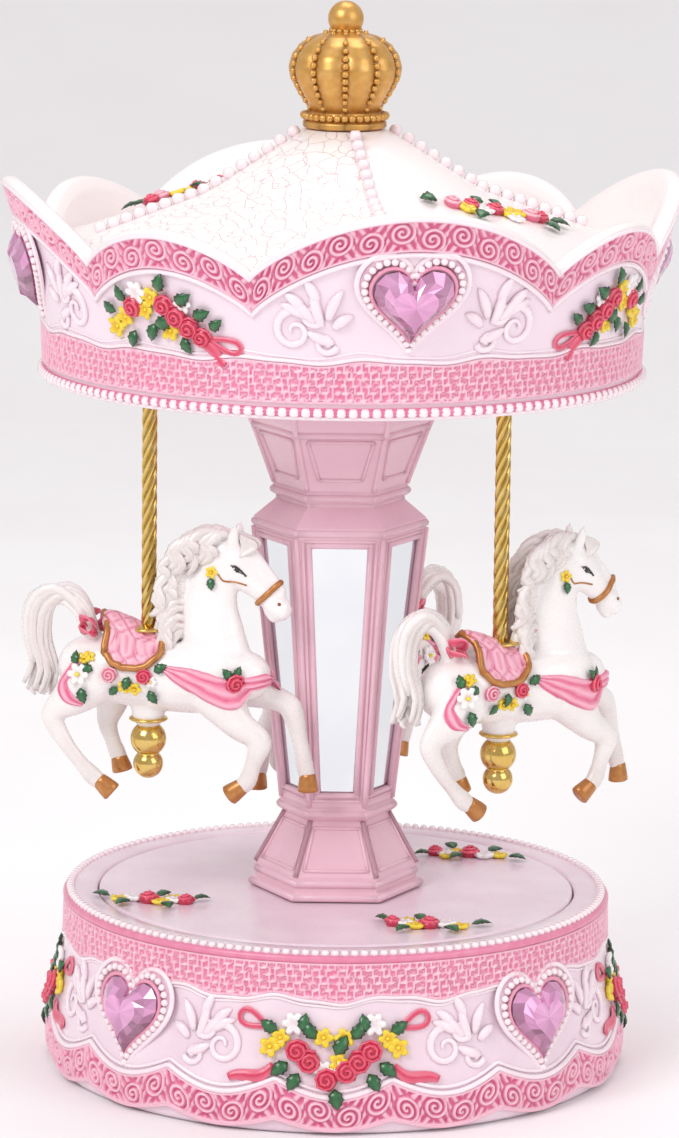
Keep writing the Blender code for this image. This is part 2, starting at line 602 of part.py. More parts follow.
def pole(number, parent, drop):
    """The pole, the two washers that hold the horse, and the double ball below it."""
    seat = SEAT_Z - drop
    belly_washer = seat - BELLY_DEPTH
    upper = belly_washer - FIT - UPPER_BALL_R
    lower = upper - BALL_PITCH
    top = CEILING_Z + CEILING_THICK + 2.0
    finish(f"pole_{number}", turned([(0.0, top), (POLE_R, top), (POLE_R, upper), (0.0, upper)], 10), BRASS, parent)
    for name, height in (("saddle_washer", seat), ("belly_washer", belly_washer)):
        profile = [(WASHER_R, height + WASHER_THICK * 0.6), (WASHER_R, height), (POLE_R + FIT, height)]
        profile += [(POLE_R + FIT, height + WASHER_THICK), (WASHER_R * 0.6, height + WASHER_THICK)]
        finish(f"{name}_{number}", turned(profile, 12), BRASS, parent)
    bore = POLE_R + FIT
    neck = np.sqrt(UPPER_BALL_R ** 2 - bore ** 2)
    start = np.arcsin(bore / UPPER_BALL_R)
    profile = [(0.0, upper - FIT), (bore, upper - FIT), (bore, upper + neck)]
    for turn in np.linspace(start, np.radians(145.0), 6)[1:]:
        profile.append((UPPER_BALL_R * np.sin(turn), upper + UPPER_BALL_R * np.cos(turn)))
    for turn in np.linspace(np.radians(50.0), np.pi, 5)[:-1]:
        profile.append((LOWER_BALL_R * np.sin(turn), lower + LOWER_BALL_R * np.cos(turn)))
    profile.append((0.0, lower - LOWER_BALL_R))
    finish(f"pole_finial_{number}", turned(profile, 12), BRASS, parent)


def horses(carousel):
    for number in range(HORSE_COUNT):
        x, y = bearingPoint(POLE_CIRCLE_R, FIRST_POLE_BEARING + 120.0 * number)
        axis = empty(f"horse_axis_{number + 1}", (x, y, 0.0), HORSE_HEADINGS[number], carousel)
        drop = HORSE_DROPS[number]
        pole(number + 1, axis, drop)
        horse(f"horse_{number + 1}", axis, SEAT_Z - drop)


# Movement
def plateOutline(corners, low, high):
    return loft([[(x, y, z) for x, y in corners] for z in (low, high)])


def bedplate():
    left, right, half = BED_LEFT, BED_RIGHT, BED_HALF_Y
    corners = [(left, -9.0), (-9.0, -half), (right - 9.0, -half), (right, -half + 8.0), (right, 8.0), (right - 12.0, half)]
    corners += [(-9.0, half), (left, 9.0)]
    made = finish("bedplate", plateOutline(corners, BED_Z, BED_Z + BED_THICK), ZINC)
    seat = plateOutline([(20.0, 14.0), (44.0, 14.0), (44.0, 20.0), (20.0, 20.0)], BED_Z + 1.0, AXLE_Z - 1.0)
    cut(made, [seat], "UNION")
    holes = [(0.0, 0.0, ARBOR_R + RUN)] + [(x, y, SCREW_R + FIT) for x, y in MOVEMENT_SCREWS]
    cut(made, [cylinderAt(x, y, radius, BED_Z - 1.0, BED_Z + BED_THICK + 1.2, 10) for x, y, radius in holes])


def springBarrel(parent):
    """A drum open below, with the output hub on its top. The hub is bored for the tie rod."""
    high = BARREL_Z + BARREL_HEIGHT
    inside = BARREL_R - BARREL_WALL
    hub_top = BASE_HEIGHT - FIT
    bore = ROD_R + FIT
    profile = [(0.0, high + 6.5), (bore, high + 6.5), (bore, hub_top), (HUB_R, hub_top), (HUB_R, high), (BARREL_R, high)]
    profile += [(BARREL_R, BARREL_Z), (inside, BARREL_Z), (inside, high - BARREL_WALL), (0.0, high - BARREL_WALL)]
    finish("spring_barrel", turned(profile, 20), BRASS, parent)


def crownGear(parent):
    """A face gear round the barrel, with its teeth on its top edge."""
    count = CROWN_TEETH * 4
    offsets = np.array([-0.17, 0.17, 0.29, 0.71])
    turns = (np.arange(CROWN_TEETH)[:, None] + offsets[None, :] + 0.5).ravel() * 2 * np.pi / CROWN_TEETH
    tips = np.tile([1.0, 1.0, 0.0, 0.0], CROWN_TEETH) * CROWN_TOOTH + CROWN_ROOT_Z
    inner, outer = BARREL_R + FIT, CROWN_GEAR_R + CROWN_GEAR_W / 2

    def around(radius, heights):
        levels = np.broadcast_to(heights, (count,))
        return [(radius * np.cos(t), radius * np.sin(t), z) for t, z in zip(turns, levels)]

    loops = [around(inner, CROWN_GEAR_Z), around(outer, CROWN_GEAR_Z), around(outer, tips), around(inner, tips)]
    finish("crown_gear", loft(loops, ring=True), BRASS, parent)


def mainspring(parent):
    """A flat spiral strip: its radius grows evenly with the turn, from the arbor to the barrel's wall."""
    inner, outer = ARBOR_R + 0.6, BARREL_R - BARREL_WALL - 0.8
    turn = np.linspace(0.0, 2 * np.pi * SPRING_TURNS, SPRING_STEPS)
    radius = np.linspace(inner, outer, SPRING_STEPS)
    low, high = BARREL_Z + 1.0, BARREL_Z + BARREL_HEIGHT - BARREL_WALL - 0.8
    loops = []
    for t, r in zip(turn, radius):
        spot = [(r, low), (r + SPRING_STRIP, low), (r + SPRING_STRIP, high), (r, high)]
        loops.append([(reach * np.cos(t), reach * np.sin(t), z) for reach, z in spot])
    finish("mainspring", loft(loops), STEEL, parent)


def comb():
    """A steel comb whose tines point at the cylinder."""
    tips, root, back = CYLINDER_R + 0.9, 14.0, 20.0
    left, right = CYLINDER_X + 1.0, CYLINDER_X + CYLINDER_LENGTH - 1.0
    pitch = (right - left) / COMB_TINES
    corners = [(left, back)]
    for tine in range(COMB_TINES):
        start = left + tine * pitch
        end = start + pitch * 0.62
        corners += [(start, tips), (end, tips)]
        if tine < COMB_TINES - 1:
            corners += [(end, root), (start + pitch, root)]
        else:
            corners += [(end, back)]
    made = finish("comb", plateOutline(corners, AXLE_Z - 1.0 + FIT, AXLE_Z + 0.2 + FIT), STEEL)
    spots = [(left + 4.0, 17.2), (right - 5.0, 17.2)]
    cut(made, [cylinderAt(x, y, SCREW_R + FIT, AXLE_Z - 3.0, AXLE_Z + 3.0, 8) for x, y in spots])
    for number, (x, y) in enumerate(spots, 1):
        seat = AXLE_Z + 0.2 + FIT
        screw(f"comb_screw_{number}", x, y, seat, AXLE_Z - 1.0 + 0.2, down=True)


def bearingPlate(name, x, low_y, high_y, thick, holes):
    """An upright plate across the axles, with a round hole for each."""
    bottom, top = BED_Z + BED_THICK + FIT, AXLE_Z + 3.6
    corners = [(low_y, bottom), (high_y, bottom), (high_y, top), (low_y, top)]
    made = finish(name, loft([[(x + step, y, z) for y, z in corners] for step in (0.0, thick)]), ZINC)
    tools = []
    for y in holes:
        bm = loft([circle(PIVOT_R + RUN, z, 12) for z in (-4.0, 4.0)])
        bmesh.ops.transform(bm, matrix=onAxis(x + thick / 2, y, AXLE_Z, "X"), verts=bm.verts)
        tools.append(bm)
    cut(made, tools)


def musicCylinder(parent):
    """The drum on its arbor, and the two gears on it."""
    length = CYLINDER_LENGTH
    start = CROWN_GEAR_R - CROWN_GEAR_W / 2 - 0.4
    turn = onAxis(0.0, 0.0, 0.0, "X")
    end = OUTER_BEARING_X + 2.8
    profile = [(0.0, end), (PIVOT_R, end), (PIVOT_R, CYLINDER_X + length), (CYLINDER_R, CYLINDER_X + length)]
    profile += [(CYLINDER_R, CYLINDER_X), (PIVOT_R, CYLINDER_X), (PIVOT_R, start), (0.0, start)]
    finish("music_cylinder", turned(profile, 16), BRASS, parent, matrix=turn)
    low = BARREL_R + 0.4
    high = CROWN_GEAR_R + CROWN_GEAR_W / 2 - 0.1
    pinion = gear(PINION_TEETH, PINION_R - 0.93, PINION_R + 0.52, low, high, PIVOT_R + FIT, 0.0)
    finish("cylinder_pinion", pinion, BRASS, parent, matrix=turn)
    wheel = gear(WHEEL_TEETH, WHEEL_R - 0.85, WHEEL_R + 0.55, WHEEL_X, WHEEL_X + 2.0, PIVOT_R + FIT, np.pi / 2)
    finish("cylinder_wheel", wheel, BRASS, parent, matrix=turn)


def governorWheel(parent):
    """The pinion and the worm wheel on one arbor, as one turned and cut piece."""
    low, high = WHEEL_X - 0.1, WHEEL_X + 2.1
    count = WORM_TEETH * 4
    worm_low, worm_high = WORM_X - 1.0, WORM_X + 1.0
    pinion_r, pinion_a = toothed(GOVERNOR_TEETH, GOVERNOR_R - 0.75, GOVERNOR_R + 0.55, -np.pi / 2 + np.pi / GOVERNOR_TEETH)
    wheel_r, wheel_a = toothed(WORM_TEETH, WORM_WHEEL_R - 0.75, WORM_WHEEL_R + 0.5, np.pi / 2)
    spread = np.arange(count) * 2 * np.pi / count

    def ring(radii, angles, x):
        return [(r * np.cos(a), r * np.sin(a), x) for r, a in zip(np.broadcast_to(radii, angles.shape), angles)]

    loops = [ring(PIVOT_R, spread[::2], low - 1.2), ring(PIVOT_R, pinion_a, low), ring(pinion_r, pinion_a, low)]
    loops += [ring(pinion_r, pinion_a, high), ring(PIVOT_R, pinion_a, high), ring(PIVOT_R, pinion_a, worm_low - 0.6)]
    bm = loft(loops)
    hub = loft([ring(PIVOT_R, wheel_a, worm_low - 1.0), ring(PIVOT_R, wheel_a, worm_low), ring(wheel_r, wheel_a, worm_low),
                ring(wheel_r, wheel_a, worm_high), ring(PIVOT_R, wheel_a, worm_high), ring(PIVOT_R, wheel_a, WORM_X + 3.3)])
    made = finish("governor_wheel", bm, BRASS, parent, matrix=onAxis(0.0, 0.0, 0.0, "X"))
    bmesh.ops.transform(hub, matrix=onAxis(0.0, 0.0, 0.0, "X"), verts=hub.verts)
    cut(made, [hub], "UNION")


def governorWorm(parent):
    """A two-start worm with a flat air vane below it, lofted ring by ring up the arbor."""
    axial = np.pi * WORM_MODULE
    lead = axial * WORM_STARTS
    sides = 12
    turn = np.arange(sides) * 2 * np.pi / sides
    loops = []

    def ring(radius, z):
        radii = np.broadcast_to(radius, turn.shape)
        loops.append([(r * np.cos(t), r * np.sin(t), z) for r, t in zip(radii, turn)])

    def vane(z):
        loops.append([(3.7 * np.cos(t), 0.5 * np.sin(t), z) for t in turn])

    ring(0.3, -9.1)
    ring(0.6, -8.8)
    ring(0.6, -8.4)
    vane(-8.2)
    vane(-4.8)
    ring(0.6, -4.6)
    ring(0.6, -3.4)
    for z in np.arange(-1.5 * axial, 1.5 * axial + 1e-6, axial / 5):
        phase = np.mod((z - lead * turn / (2 * np.pi)) / axial + 0.5, 1.0) - 0.5
        ring(1.4 + 1.0 * np.clip((0.34 - np.abs(phase)) / 0.14, 0.0, 1.0), z)
    ring(0.6, 3.4)
    ring(0.6, 6.2)
    ring(0.3, 6.6)
    finish("governor_worm", loft(loops), STEEL, parent)


def governorBracket():
    """A C-shaped bracket that holds both ends of the worm's arbor and the end of the governor wheel's."""
    foot, top = BED_Z + BED_THICK + FIT, AXLE_Z + 7.0
    post, reach = WORM_X + 4.4, WORM_X - 1.8
    corners = [(reach, foot), (post + 1.6, foot), (post + 1.6, top + 1.6), (reach, top + 1.6), (reach, top), (post, top)]
    corners += [(post, foot + 0.8), (reach, foot + 0.8)]
    low_y, high_y = WORM_Y - 2.6, GOVERNOR_Y + 2.6
    finish("governor_bracket", loft([[(x, y, z) for x, z in corners] for y in (low_y, high_y)]), ZINC)


def windingKey(parent):
    """Two flat wings on a round hub, with a bore for the arbor."""
    low, high = COVER_Z - 0.8 - KEY_HEIGHT - 2.8, COVER_Z - 0.8
    bore = ARBOR_R + FIT
    profile = [(0.0, high - 4.5), (bore, high - 4.5), (bore, high), (4.0, high), (4.0, low + 0.6), (3.4, low), (0.0, low)]
    made = finish("winding_key", turned(profile, 16), BRASS, parent)
    wing_low, wing_high = low + 0.4, low + 0.4 + KEY_HEIGHT
    middle, half = (wing_low + wing_high) / 2, KEY_HEIGHT / 2
    edge = [(KEY_HUB_R, middle + half * 0.6)]
    for turn in np.linspace(110.0, -110.0, 9):
        reach = KEY_SPAN / 2 - half
        edge.append((reach + half * np.cos(np.radians(turn)), middle + half * np.sin(np.radians(turn))))
    edge.append((KEY_HUB_R, middle - half * 0.6))
    wings = []
    for side in (1.0, -1.0):
        loops = [[(side * x, y, z) for x, z in edge] for y in (-KEY_THICK / 2, KEY_THICK / 2)]
        wings.append(loft(loops))
    cut(made, wings, "UNION")


def windingArbor(parent):
    low = COVER_Z - 0.8 - 4.5 + FIT
    high = BARREL_Z + BARREL_HEIGHT - BARREL_WALL - 0.5
    finish("winding_arbor", cylinderAt(0.0, 0.0, ARBOR_R, low, high, 12), STEEL, parent)


# Whole
def build():
    clearScene()
    carousel = empty("carousel_axis", (0.0, 0.0, 0.0))
    key = empty("key_axis", (0.0, 0.0, 0.0))
    cylinder = empty("cylinder_axis", (0.0, 0.0, AXLE_Z))
    wheel = empty("governor_wheel_axis", (0.0, GOVERNOR_Y, AXLE_Z))
    worm = empty("governor_axis", (WORM_X, WORM_Y, AXLE_Z))
    baseShell()
    bottomCover()
    screws()
    baseGems()
    turntable(carousel)
    column(carousel)
    tieRod(carousel)
    canopyShell(carousel)
    canopyCeiling(carousel)
    canopyGems(carousel)
    crown(carousel)
    horses(carousel)
    bedplate()
    springBarrel(carousel)
    crownGear(carousel)
    mainspring(carousel)
    comb()
    bearingPlate("cylinder_bearing_inner", CYLINDER_X - 3.0, -5.0, 5.0, 2.0, [0.0])
    bearingPlate("cylinder_bearing_outer", OUTER_BEARING_X, GOVERNOR_Y - 2.6, 5.0, 2.0, [0.0, GOVERNOR_Y])
    musicCylinder(cylinder)
    governorWheel(wheel)
    governorWorm(worm)
    governorBracket()
    windingKey(key)
    windingArbor(key)


build()
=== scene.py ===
import bpy
import numpy as np
from mathutils import Matrix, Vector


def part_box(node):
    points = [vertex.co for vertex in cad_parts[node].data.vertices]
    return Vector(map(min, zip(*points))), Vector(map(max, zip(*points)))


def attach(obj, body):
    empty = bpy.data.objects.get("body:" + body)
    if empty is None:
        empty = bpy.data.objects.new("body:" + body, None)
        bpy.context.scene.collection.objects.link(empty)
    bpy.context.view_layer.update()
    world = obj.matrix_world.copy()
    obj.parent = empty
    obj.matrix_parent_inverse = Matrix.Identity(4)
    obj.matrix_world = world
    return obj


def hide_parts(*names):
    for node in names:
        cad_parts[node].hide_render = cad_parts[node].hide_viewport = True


# A wind-up carousel music box in cast resin: every length below is in millimetres.
# Bearings are in degrees from the front, growing to the right as seen from outside.

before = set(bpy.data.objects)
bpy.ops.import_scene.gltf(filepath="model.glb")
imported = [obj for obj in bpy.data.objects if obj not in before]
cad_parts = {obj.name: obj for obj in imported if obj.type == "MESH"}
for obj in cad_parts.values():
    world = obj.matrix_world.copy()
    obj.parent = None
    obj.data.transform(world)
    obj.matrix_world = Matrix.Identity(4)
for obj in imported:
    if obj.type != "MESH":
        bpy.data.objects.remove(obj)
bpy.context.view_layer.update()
mm = 0.001

view = {"distance": 1318.0, "height": 378.2, "tilt": 79.4, "roll": 0.67, "halfFrame": 569.0, "focal": 5100.0}


def makeCamera():
    # a long lens a little above the roof, turned down towards the middle of the column
    data = bpy.data.cameras.new("camera")
    data.sensor_fit = "VERTICAL"
    data.angle = 2 * np.arctan(view["halfFrame"] / view["focal"])
    camera = bpy.data.objects.new("camera", data)
    bpy.context.scene.collection.objects.link(camera)
    place = Matrix.Translation((0, -view["distance"] * mm, view["height"] * mm))
    turn = Matrix.Rotation(np.radians(view["tilt"]), 4, "X")
    camera.matrix_world = place @ turn @ Matrix.Rotation(np.radians(view["roll"]), 4, "Z")
    bpy.context.scene.camera = camera


makeCamera()
print("camera placed")

# every shape is (points, groups of faces, tint), tint being 0 in a hollow and 1 on a ridge; on the
# horses, flowers, sashes, relief and stones the tint also lays painted shade and painted light


def unit(vectors):
    # each vector divided by its own length
    return vectors / np.maximum(np.linalg.norm(vectors, axis=-1, keepdims=True), 1e-9)


def grid(points, around=False, along=False, start=False, end=False, tint=None):
    # rows run along and columns around, so that column x row points outwards; a closed end is a fan to its
    # middle
    rows, columns = points.shape[:2]
    index = np.arange(rows * columns).reshape(rows, columns)
    if around:
        index = np.concatenate([index, index[:, :1]], axis=1)
    if along:
        index = np.concatenate([index, index[:1]], axis=0)
    quads = np.stack([index[:-1, :-1], index[:-1, 1:], index[1:, 1:], index[1:, :-1]], -1).reshape(-1, 4)
    flat = points.reshape(-1, 3)
    shade = np.zeros(len(flat))
    if tint is not None:
        shade = np.broadcast_to(tint, (rows, columns)).reshape(-1).astype(float)
    fans = []
    if start:
        hub = np.full(index.shape[1] - 1, len(flat))
        fans.append(np.stack([hub, index[0, 1:], index[0, :-1]], -1))
        flat = np.concatenate([flat, points[0].mean(0)[None]])
        shade = np.append(shade, shade[:columns].mean())
    if end:
        hub = np.full(index.shape[1] - 1, len(flat))
        fans.append(np.stack([hub, index[-2 if along else -1, :-1], index[-2 if along else -1, 1:]], -1))
        flat = np.concatenate([flat, points[-1].mean(0)[None]])
        shade = np.append(shade, shade[(rows - 1) * columns:rows * columns].mean())
    return flat, [quads] + fans, shade


def joined(*shapes):
    # several shapes as one, each one's face numbers moved past the points before it
    shift = np.cumsum([0] + [len(shape[0]) for shape in shapes])
    groups = [faces + offset for shape, offset in zip(shapes, shift) for faces in shape[1]]
    return np.concatenate([s[0] for s in shapes]), groups, np.concatenate([s[2] for s in shapes])


def lathe(profile, columns=192, tint=None):
    # (radius, height) points from the bottom outside, up and in, turned about the upright axis
    profile = np.asarray(profile, float)
    turn = np.linspace(0, 2 * np.pi, columns, endpoint=False)
    points = np.stack([profile[:, :1] * np.sin(turn), -profile[:, :1] * np.cos(turn),
                       np.repeat(profile[:, 1:], columns, 1)], -1)
    return grid(points, around=True, start=True, end=True, tint=tint)


def tube(path, radius, sides=8, up=(0, 0, 1), flat=1.0, tint=None, closed=False):
    # a ring of points carried along a path; flat squeezes it in the up direction
    path = np.asarray(path, float)
    ahead = np.roll(path, -1, 0) - np.roll(path, 1, 0) if closed else np.gradient(path, axis=0)
    way = unit(ahead)
    side = unit(np.cross(np.broadcast_to(np.asarray(up, float), way.shape), way))
    rise = np.cross(way, side)
    turn = np.linspace(0, 2 * np.pi, sides, endpoint=False)
    size = np.broadcast_to(np.asarray(radius, float), len(path))[:, None, None]
    squeeze = np.broadcast_to(np.asarray(flat, float), len(path))[:, None, None]
    ring = (np.cos(turn)[None, :, None] * side[:, None]
            + squeeze * np.sin(turn)[None, :, None] * rise[:, None])
    if tint is not None:
        tint = np.broadcast_to(tint, len(path))[:, None] * np.ones(sides)
    ends = not closed
    return grid(path[:, None] + size * ring, around=True, along=closed, start=ends, end=ends, tint=tint)


def ball(rings=4, sides=8, tint=1.0):
    # a unit sphere in rings from its south pole to its north
    fall = np.linspace(0, np.pi, rings + 2)[1:-1, None]
    turn = np.linspace(0, 2 * np.pi, sides, endpoint=False)[None]
    points = np.stack([np.sin(fall) * np.cos(turn), np.sin(fall) * np.sin(turn), -np.cos(fall) + 0 * turn],
                      -1)
    return grid(points, around=True, start=True, end=True, tint=tint)


def repeated(shape, places, sizes, axes=None):
    # the same shape at every place, each one scaled, and turned by three axes of its own if they are given
    points, groups, tint = shape
    places = np.asarray(places, float)
    sizes = np.broadcast_to(np.asarray(sizes, float), len(places))
    local = points[None] * sizes[:, None, None]
    if axes is not None:
        local = np.einsum("npk,nkj->npj", local, axes)
    count = len(points)
    moved = [(faces[None] + (np.arange(len(places)) * count)[:, None, None]).reshape(-1, faces.shape[1])
             for faces in groups]
    return (local + places[:, None]).reshape(-1, 3), moved, np.tile(tint, len(places))


def addPiece(name, parts, body, replaces=(), facetShade=None):
    # parts are (shape, material) pairs that become one mesh, each keeping its own material; with facetShade
    # the
    # faces are flat and each one has a tint of its own
    whole = joined(*[shape for shape, _ in parts])
    points, groups, tint = whole
    groups = [np.asarray(faces, np.int32) for faces in groups if len(faces)]
    loops = np.concatenate([faces.ravel() for faces in groups])
    sizes = np.concatenate([np.full(len(faces), faces.shape[1]) for faces in groups])
    mesh = bpy.data.meshes.new(name)
    mesh.vertices.add(len(points))
    mesh.vertices.foreach_set("co", (points * mm).astype(np.float32).ravel())
    mesh.loops.add(len(loops))
    mesh.loops.foreach_set("vertex_index", loops)
    mesh.polygons.add(len(sizes))
    mesh.polygons.foreach_set("loop_start", np.concatenate([[0], np.cumsum(sizes)[:-1]]).astype(np.int32))
    owners = [np.full(sum(len(faces) for faces in shape[1] if len(faces)), number)
              for number, (shape, _) in enumerate(parts)]
    names = [made.name for _, made in parts]
    unique = sorted(set(names), key=names.index)
    slots = np.array([unique.index(each) for each in names])
    mesh.polygons.foreach_set("material_index", slots[np.concatenate(owners)].astype(np.int32))
    mesh.polygons.foreach_set("use_smooth", np.full(len(sizes), facetShade is None))
    mesh.update(calc_edges=True)
    if facetShade is None:
        mesh.attributes.new("tint", "FLOAT", "POINT").data.foreach_set("value", tint.astype(np.float32))
    else:
        mesh.attributes.new("tint", "FLOAT", "FACE").data.foreach_set("value", facetShade.astype(np.float32))
    for each in unique:
        mesh.materials.append(bpy.data.materials[each])
    piece = bpy.data.objects.new(name, mesh)
    bpy.context.scene.collection.objects.link(piece)
    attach(piece, body)
    if replaces:
        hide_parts(*replaces)
    return piece


def bearingPoints(radius, bearing, height):
    # across = radius x sine of the bearing, towards the viewer = radius x its cosine
    turn = np.radians(bearing)
    return np.stack(np.broadcast_arrays(radius * np.sin(turn), -radius * np.cos(turn), height), -1)


def laid(shape, surface, bearing, start):
    # a flat pattern (across, up, out) wrapped on a turned surface: up follows the surface's own profile
    points, groups, tint = shape
    radius, height, outR, outZ = surface(start + points[:, 1])
    middle = surface(np.array([start]))[0][0]
    turned = bearing + np.degrees(points[:, 0] / np.maximum(middle, 1.0))
    place = bearingPoints(radius + points[:, 2] * outR, turned, height + points[:, 2] * outZ)
    return place, groups, tint



def toLinear(code):
    # sRGB hex to the linear colour that the shader takes
    value = np.array([int(code[i:i + 2], 16) for i in (1, 3, 5)]) / 255
    return tuple(np.where(value <= 0.04045, value / 12.92, ((value + 0.055) / 1.055) ** 2.4)) + (1.0,)


def addNode(tree, kind, inputs=None, **settings):
    # one node with its settings; an input given as a socket is linked, any other is the socket's own value
    node = tree.nodes.new(kind)
    for key, value in settings.items():
        setattr(node, key, value)
    for key, value in (inputs or {}).items():
        if isinstance(value, bpy.types.NodeSocket):
            tree.links.new(value, node.inputs[key])
        else:
            node.inputs[key].default_value = value
    return node


def paint(name, low, high, spot, blotch=9.0, grain=0.5, bump=0.04, rough=0.34, coat=0.25, metal=0.0,
          tinted=True, roughSpread=0.08, spotShare=0.35, extra=None):
    # a coloured coat over casting: tint mixes hollow to ridge, which on several finishes is painted shade
    # in the hollows, blotches of `spot` show the brush, and the grain is the fine orange-peel of a sprayed
    # film. blotch and grain are in millimetres.
    made = bpy.data.materials.new(name)
    made.use_nodes = True
    tree = made.node_tree
    shader = tree.nodes["Principled BSDF"]
    where = addNode(tree, "ShaderNodeTexCoord").outputs["Object"]
    cloud = addNode(tree, "ShaderNodeTexNoise", {"Vector": where, "Scale": 1 / (blotch * mm), "Detail": 3.0})
    fine = addNode(tree, "ShaderNodeTexNoise", {"Vector": where, "Scale": 1 / (grain * mm), "Detail": 2.0})
    share = addNode(tree, "ShaderNodeAttribute", attribute_name="tint").outputs["Fac"]
    if not tinted:
        share = cloud.outputs["Fac"]
    body = addNode(tree, "ShaderNodeMix", {"Factor": share, 6: toLinear(low), 7: toLinear(high)},
                   data_type="RGBA")
    mask = addNode(tree, "ShaderNodeMapRange", {"Value": cloud.outputs["Fac"], "From Min": 0.42,
                                                "From Max": 0.72, "To Min": 0.0, "To Max": spotShare})
    mixed = addNode(tree, "ShaderNodeMix", {"Factor": mask.outputs["Result"], 6: body.outputs[2],
                                            7: toLinear(spot)}, data_type="RGBA")
    tree.links.new(mixed.outputs[2], shader.inputs["Base Color"])
    gloss = addNode(tree, "ShaderNodeMapRange", {"Value": fine.outputs["Fac"], "To Min": rough - roughSpread,
                                                 "To Max": rough + roughSpread})
    tree.links.new(gloss.outputs["Result"], shader.inputs["Roughness"])
    lift = addNode(tree, "ShaderNodeBump", {"Height": fine.outputs["Fac"], "Distance": bump * mm,
                                            "Strength": 0.6})
    tree.links.new(lift.outputs["Normal"], shader.inputs["Normal"])
    shader.inputs["Metallic"].default_value = metal
    shader.inputs["Coat Weight"].default_value = coat
    shader.inputs["Coat Roughness"].default_value = 0.16
    for key, value in (extra or {}).items():
        shader.inputs[key].default_value = value
    return made


def crackled(made, width=0.03, cell=4.2):
    # fine cracks in the lacquer where tint is near 1: the edge distance of a cell pattern, kept where it is
    # small
    tree = made.node_tree
    shader = tree.nodes["Principled BSDF"]
    where = addNode(tree, "ShaderNodeTexCoord").outputs["Object"]
    bend = addNode(tree, "ShaderNodeTexNoise", {"Vector": where, "Scale": 1 / (3.0 * mm), "Detail": 3.0})
    moved = addNode(tree, "ShaderNodeVectorMath", {0: bend.outputs["Color"], 1: (2.6 * mm,) * 3, 2: where},
                    operation="MULTIPLY_ADD")
    cells = addNode(tree, "ShaderNodeTexVoronoi", {"Vector": moved.outputs["Vector"],
                                                   "Scale": 1 / (cell * mm)}, feature="DISTANCE_TO_EDGE")
    crack = addNode(tree, "ShaderNodeMapRange", {"Value": cells.outputs["Distance"], "From Min": width,
                                                 "From Max": 0.0, "To Min": 0.0, "To Max": 1.0})
    share = addNode(tree, "ShaderNodeAttribute", attribute_name="tint").outputs["Fac"]
    near = addNode(tree, "ShaderNodeMapRange", {"Value": share, "From Min": 0.88, "From Max": 0.98})
    amount = addNode(tree, "ShaderNodeMath", {0: crack.outputs["Result"], 1: near.outputs["Result"]},
                     operation="MULTIPLY")
    colour = shader.inputs["Base Color"].links[0].from_socket
    mixed = addNode(tree, "ShaderNodeMix", {"Factor": amount.outputs["Value"], 6: colour,
                                            7: toLinear("#E6C3CD")}, data_type="RGBA")
    tree.links.new(mixed.outputs[2], shader.inputs["Base Color"])
    lift = addNode(tree, "ShaderNodeBump", {"Height": amount.outputs["Value"], "Distance": 0.12 * mm,
                                            "Normal": shader.inputs["Normal"].links[0].from_socket},
                   invert=True)
    tree.links.new(lift.outputs["Normal"], shader.inputs["Normal"])
    return made


# the canopy's lacquer: pearl rose on the wall, cream over the rim and roof, crazed on two panels
canopyLacquer = crackled(paint("crazedPearlLacquer", "#F1DDE8", "#FCF4F1", "#FAEDF3", blotch=16, rough=0.3,
                               coat=0.35, spotShare=0.2))
# mica pearl lacquer on cast resin: a soft satin sheen, faintly cooler where it pools
pearlResin = paint("pearlLacqueredResin", "#E8CFDC", "#F3DFE9", "#FBEFF5", blotch=16, rough=0.3, coat=0.35,
                   tinted=False)
# the same lacquer on the raised leaf scrolls; the deeper pink that the tint lays in the hollows is painted
# shade
pearlRelief = paint("pearlRelief", "#DDB3C6", "#FBEAF1", "#FFF4F8", blotch=5, rough=0.26, coat=0.5)
# dusty rose enamel on the cast column, brushed on in one coat
dustyResin = paint("dustyRoseEnamel", "#E6B6C7", "#F2CAD7", "#F7D8E2", blotch=22, rough=0.3, coat=0.35,
                   tinted=False)
# rose glaze wiped back from the ridges of the lace and scroll bands
roseGlaze = paint("wipedRoseGlaze", "#DC5E8E", "#FACADA", "#F7B3C9", blotch=3, rough=0.36, coat=0.3,
                  spotShare=0.25)
# the same glaze on the lace, lighter because its threads stand so close
lacePaint = paint("wipedLaceGlaze", "#E77FA4", "#FBCFDD", "#F29ABA", blotch=2.4, rough=0.42, coat=0.2,
                  spotShare=0.5)
# pearl beads: bright, close to white, with a wet gloss
beadPearl = paint("pearlBead", "#EFC3D2", "#FBE9EE", "#FFF8FA", blotch=2, rough=0.2, coat=0.7, spotShare=0.3)
# ivory lacquer on the horses; the warm grey that the tint lays in the grooves of mane and tail
# and low on the body is painted shade
ivoryResin = paint("ivoryLacqueredResin", "#D6C9C3", "#F6F1F0", "#FDFBFA", blotch=7, rough=0.27, coat=0.45)
# antique gold paint rubbed over brown: the brown stays in the hollows
goldPaint = paint("antiqueGoldPaint", "#7A4516", "#D9A455", "#F3CE86", blotch=2.2, rough=0.36, coat=0.15,
                  metal=0.65)
# copper paint on hooves, harness and saddle edge: coarser flakes, a warm satin
copperPaint = paint("copperPaint", "#7D4519", "#C08042", "#DDA468", blotch=2.4, rough=0.34, coat=0.25,
                    metal=0.5)
# bright drawn brass with fine lines from the die
brass = paint("drawnBrass", "#A07A2E", "#E2BE6C", "#F4DF9E", blotch=3, grain=0.3, bump=0.02, rough=0.17,
              coat=0.0, metal=1.0, roughSpread=0.05)
# the same brass on the parts of the movement, toned by clouds alone
plainBrass = paint("turnedBrass", "#A5833C", "#D6B468", "#E6CB8A", blotch=3, grain=0.3, bump=0.02, rough=0.2,
                   coat=0.0, metal=1.0, roughSpread=0.05, tinted=False)
# ground steel pins and screws: grey with a fine satin
steel = paint("groundSteel", "#8D9094", "#BFC3C7", "#D6D9DC", blotch=2, grain=0.25, rough=0.28, coat=0,
              metal=1.0, tinted=False)
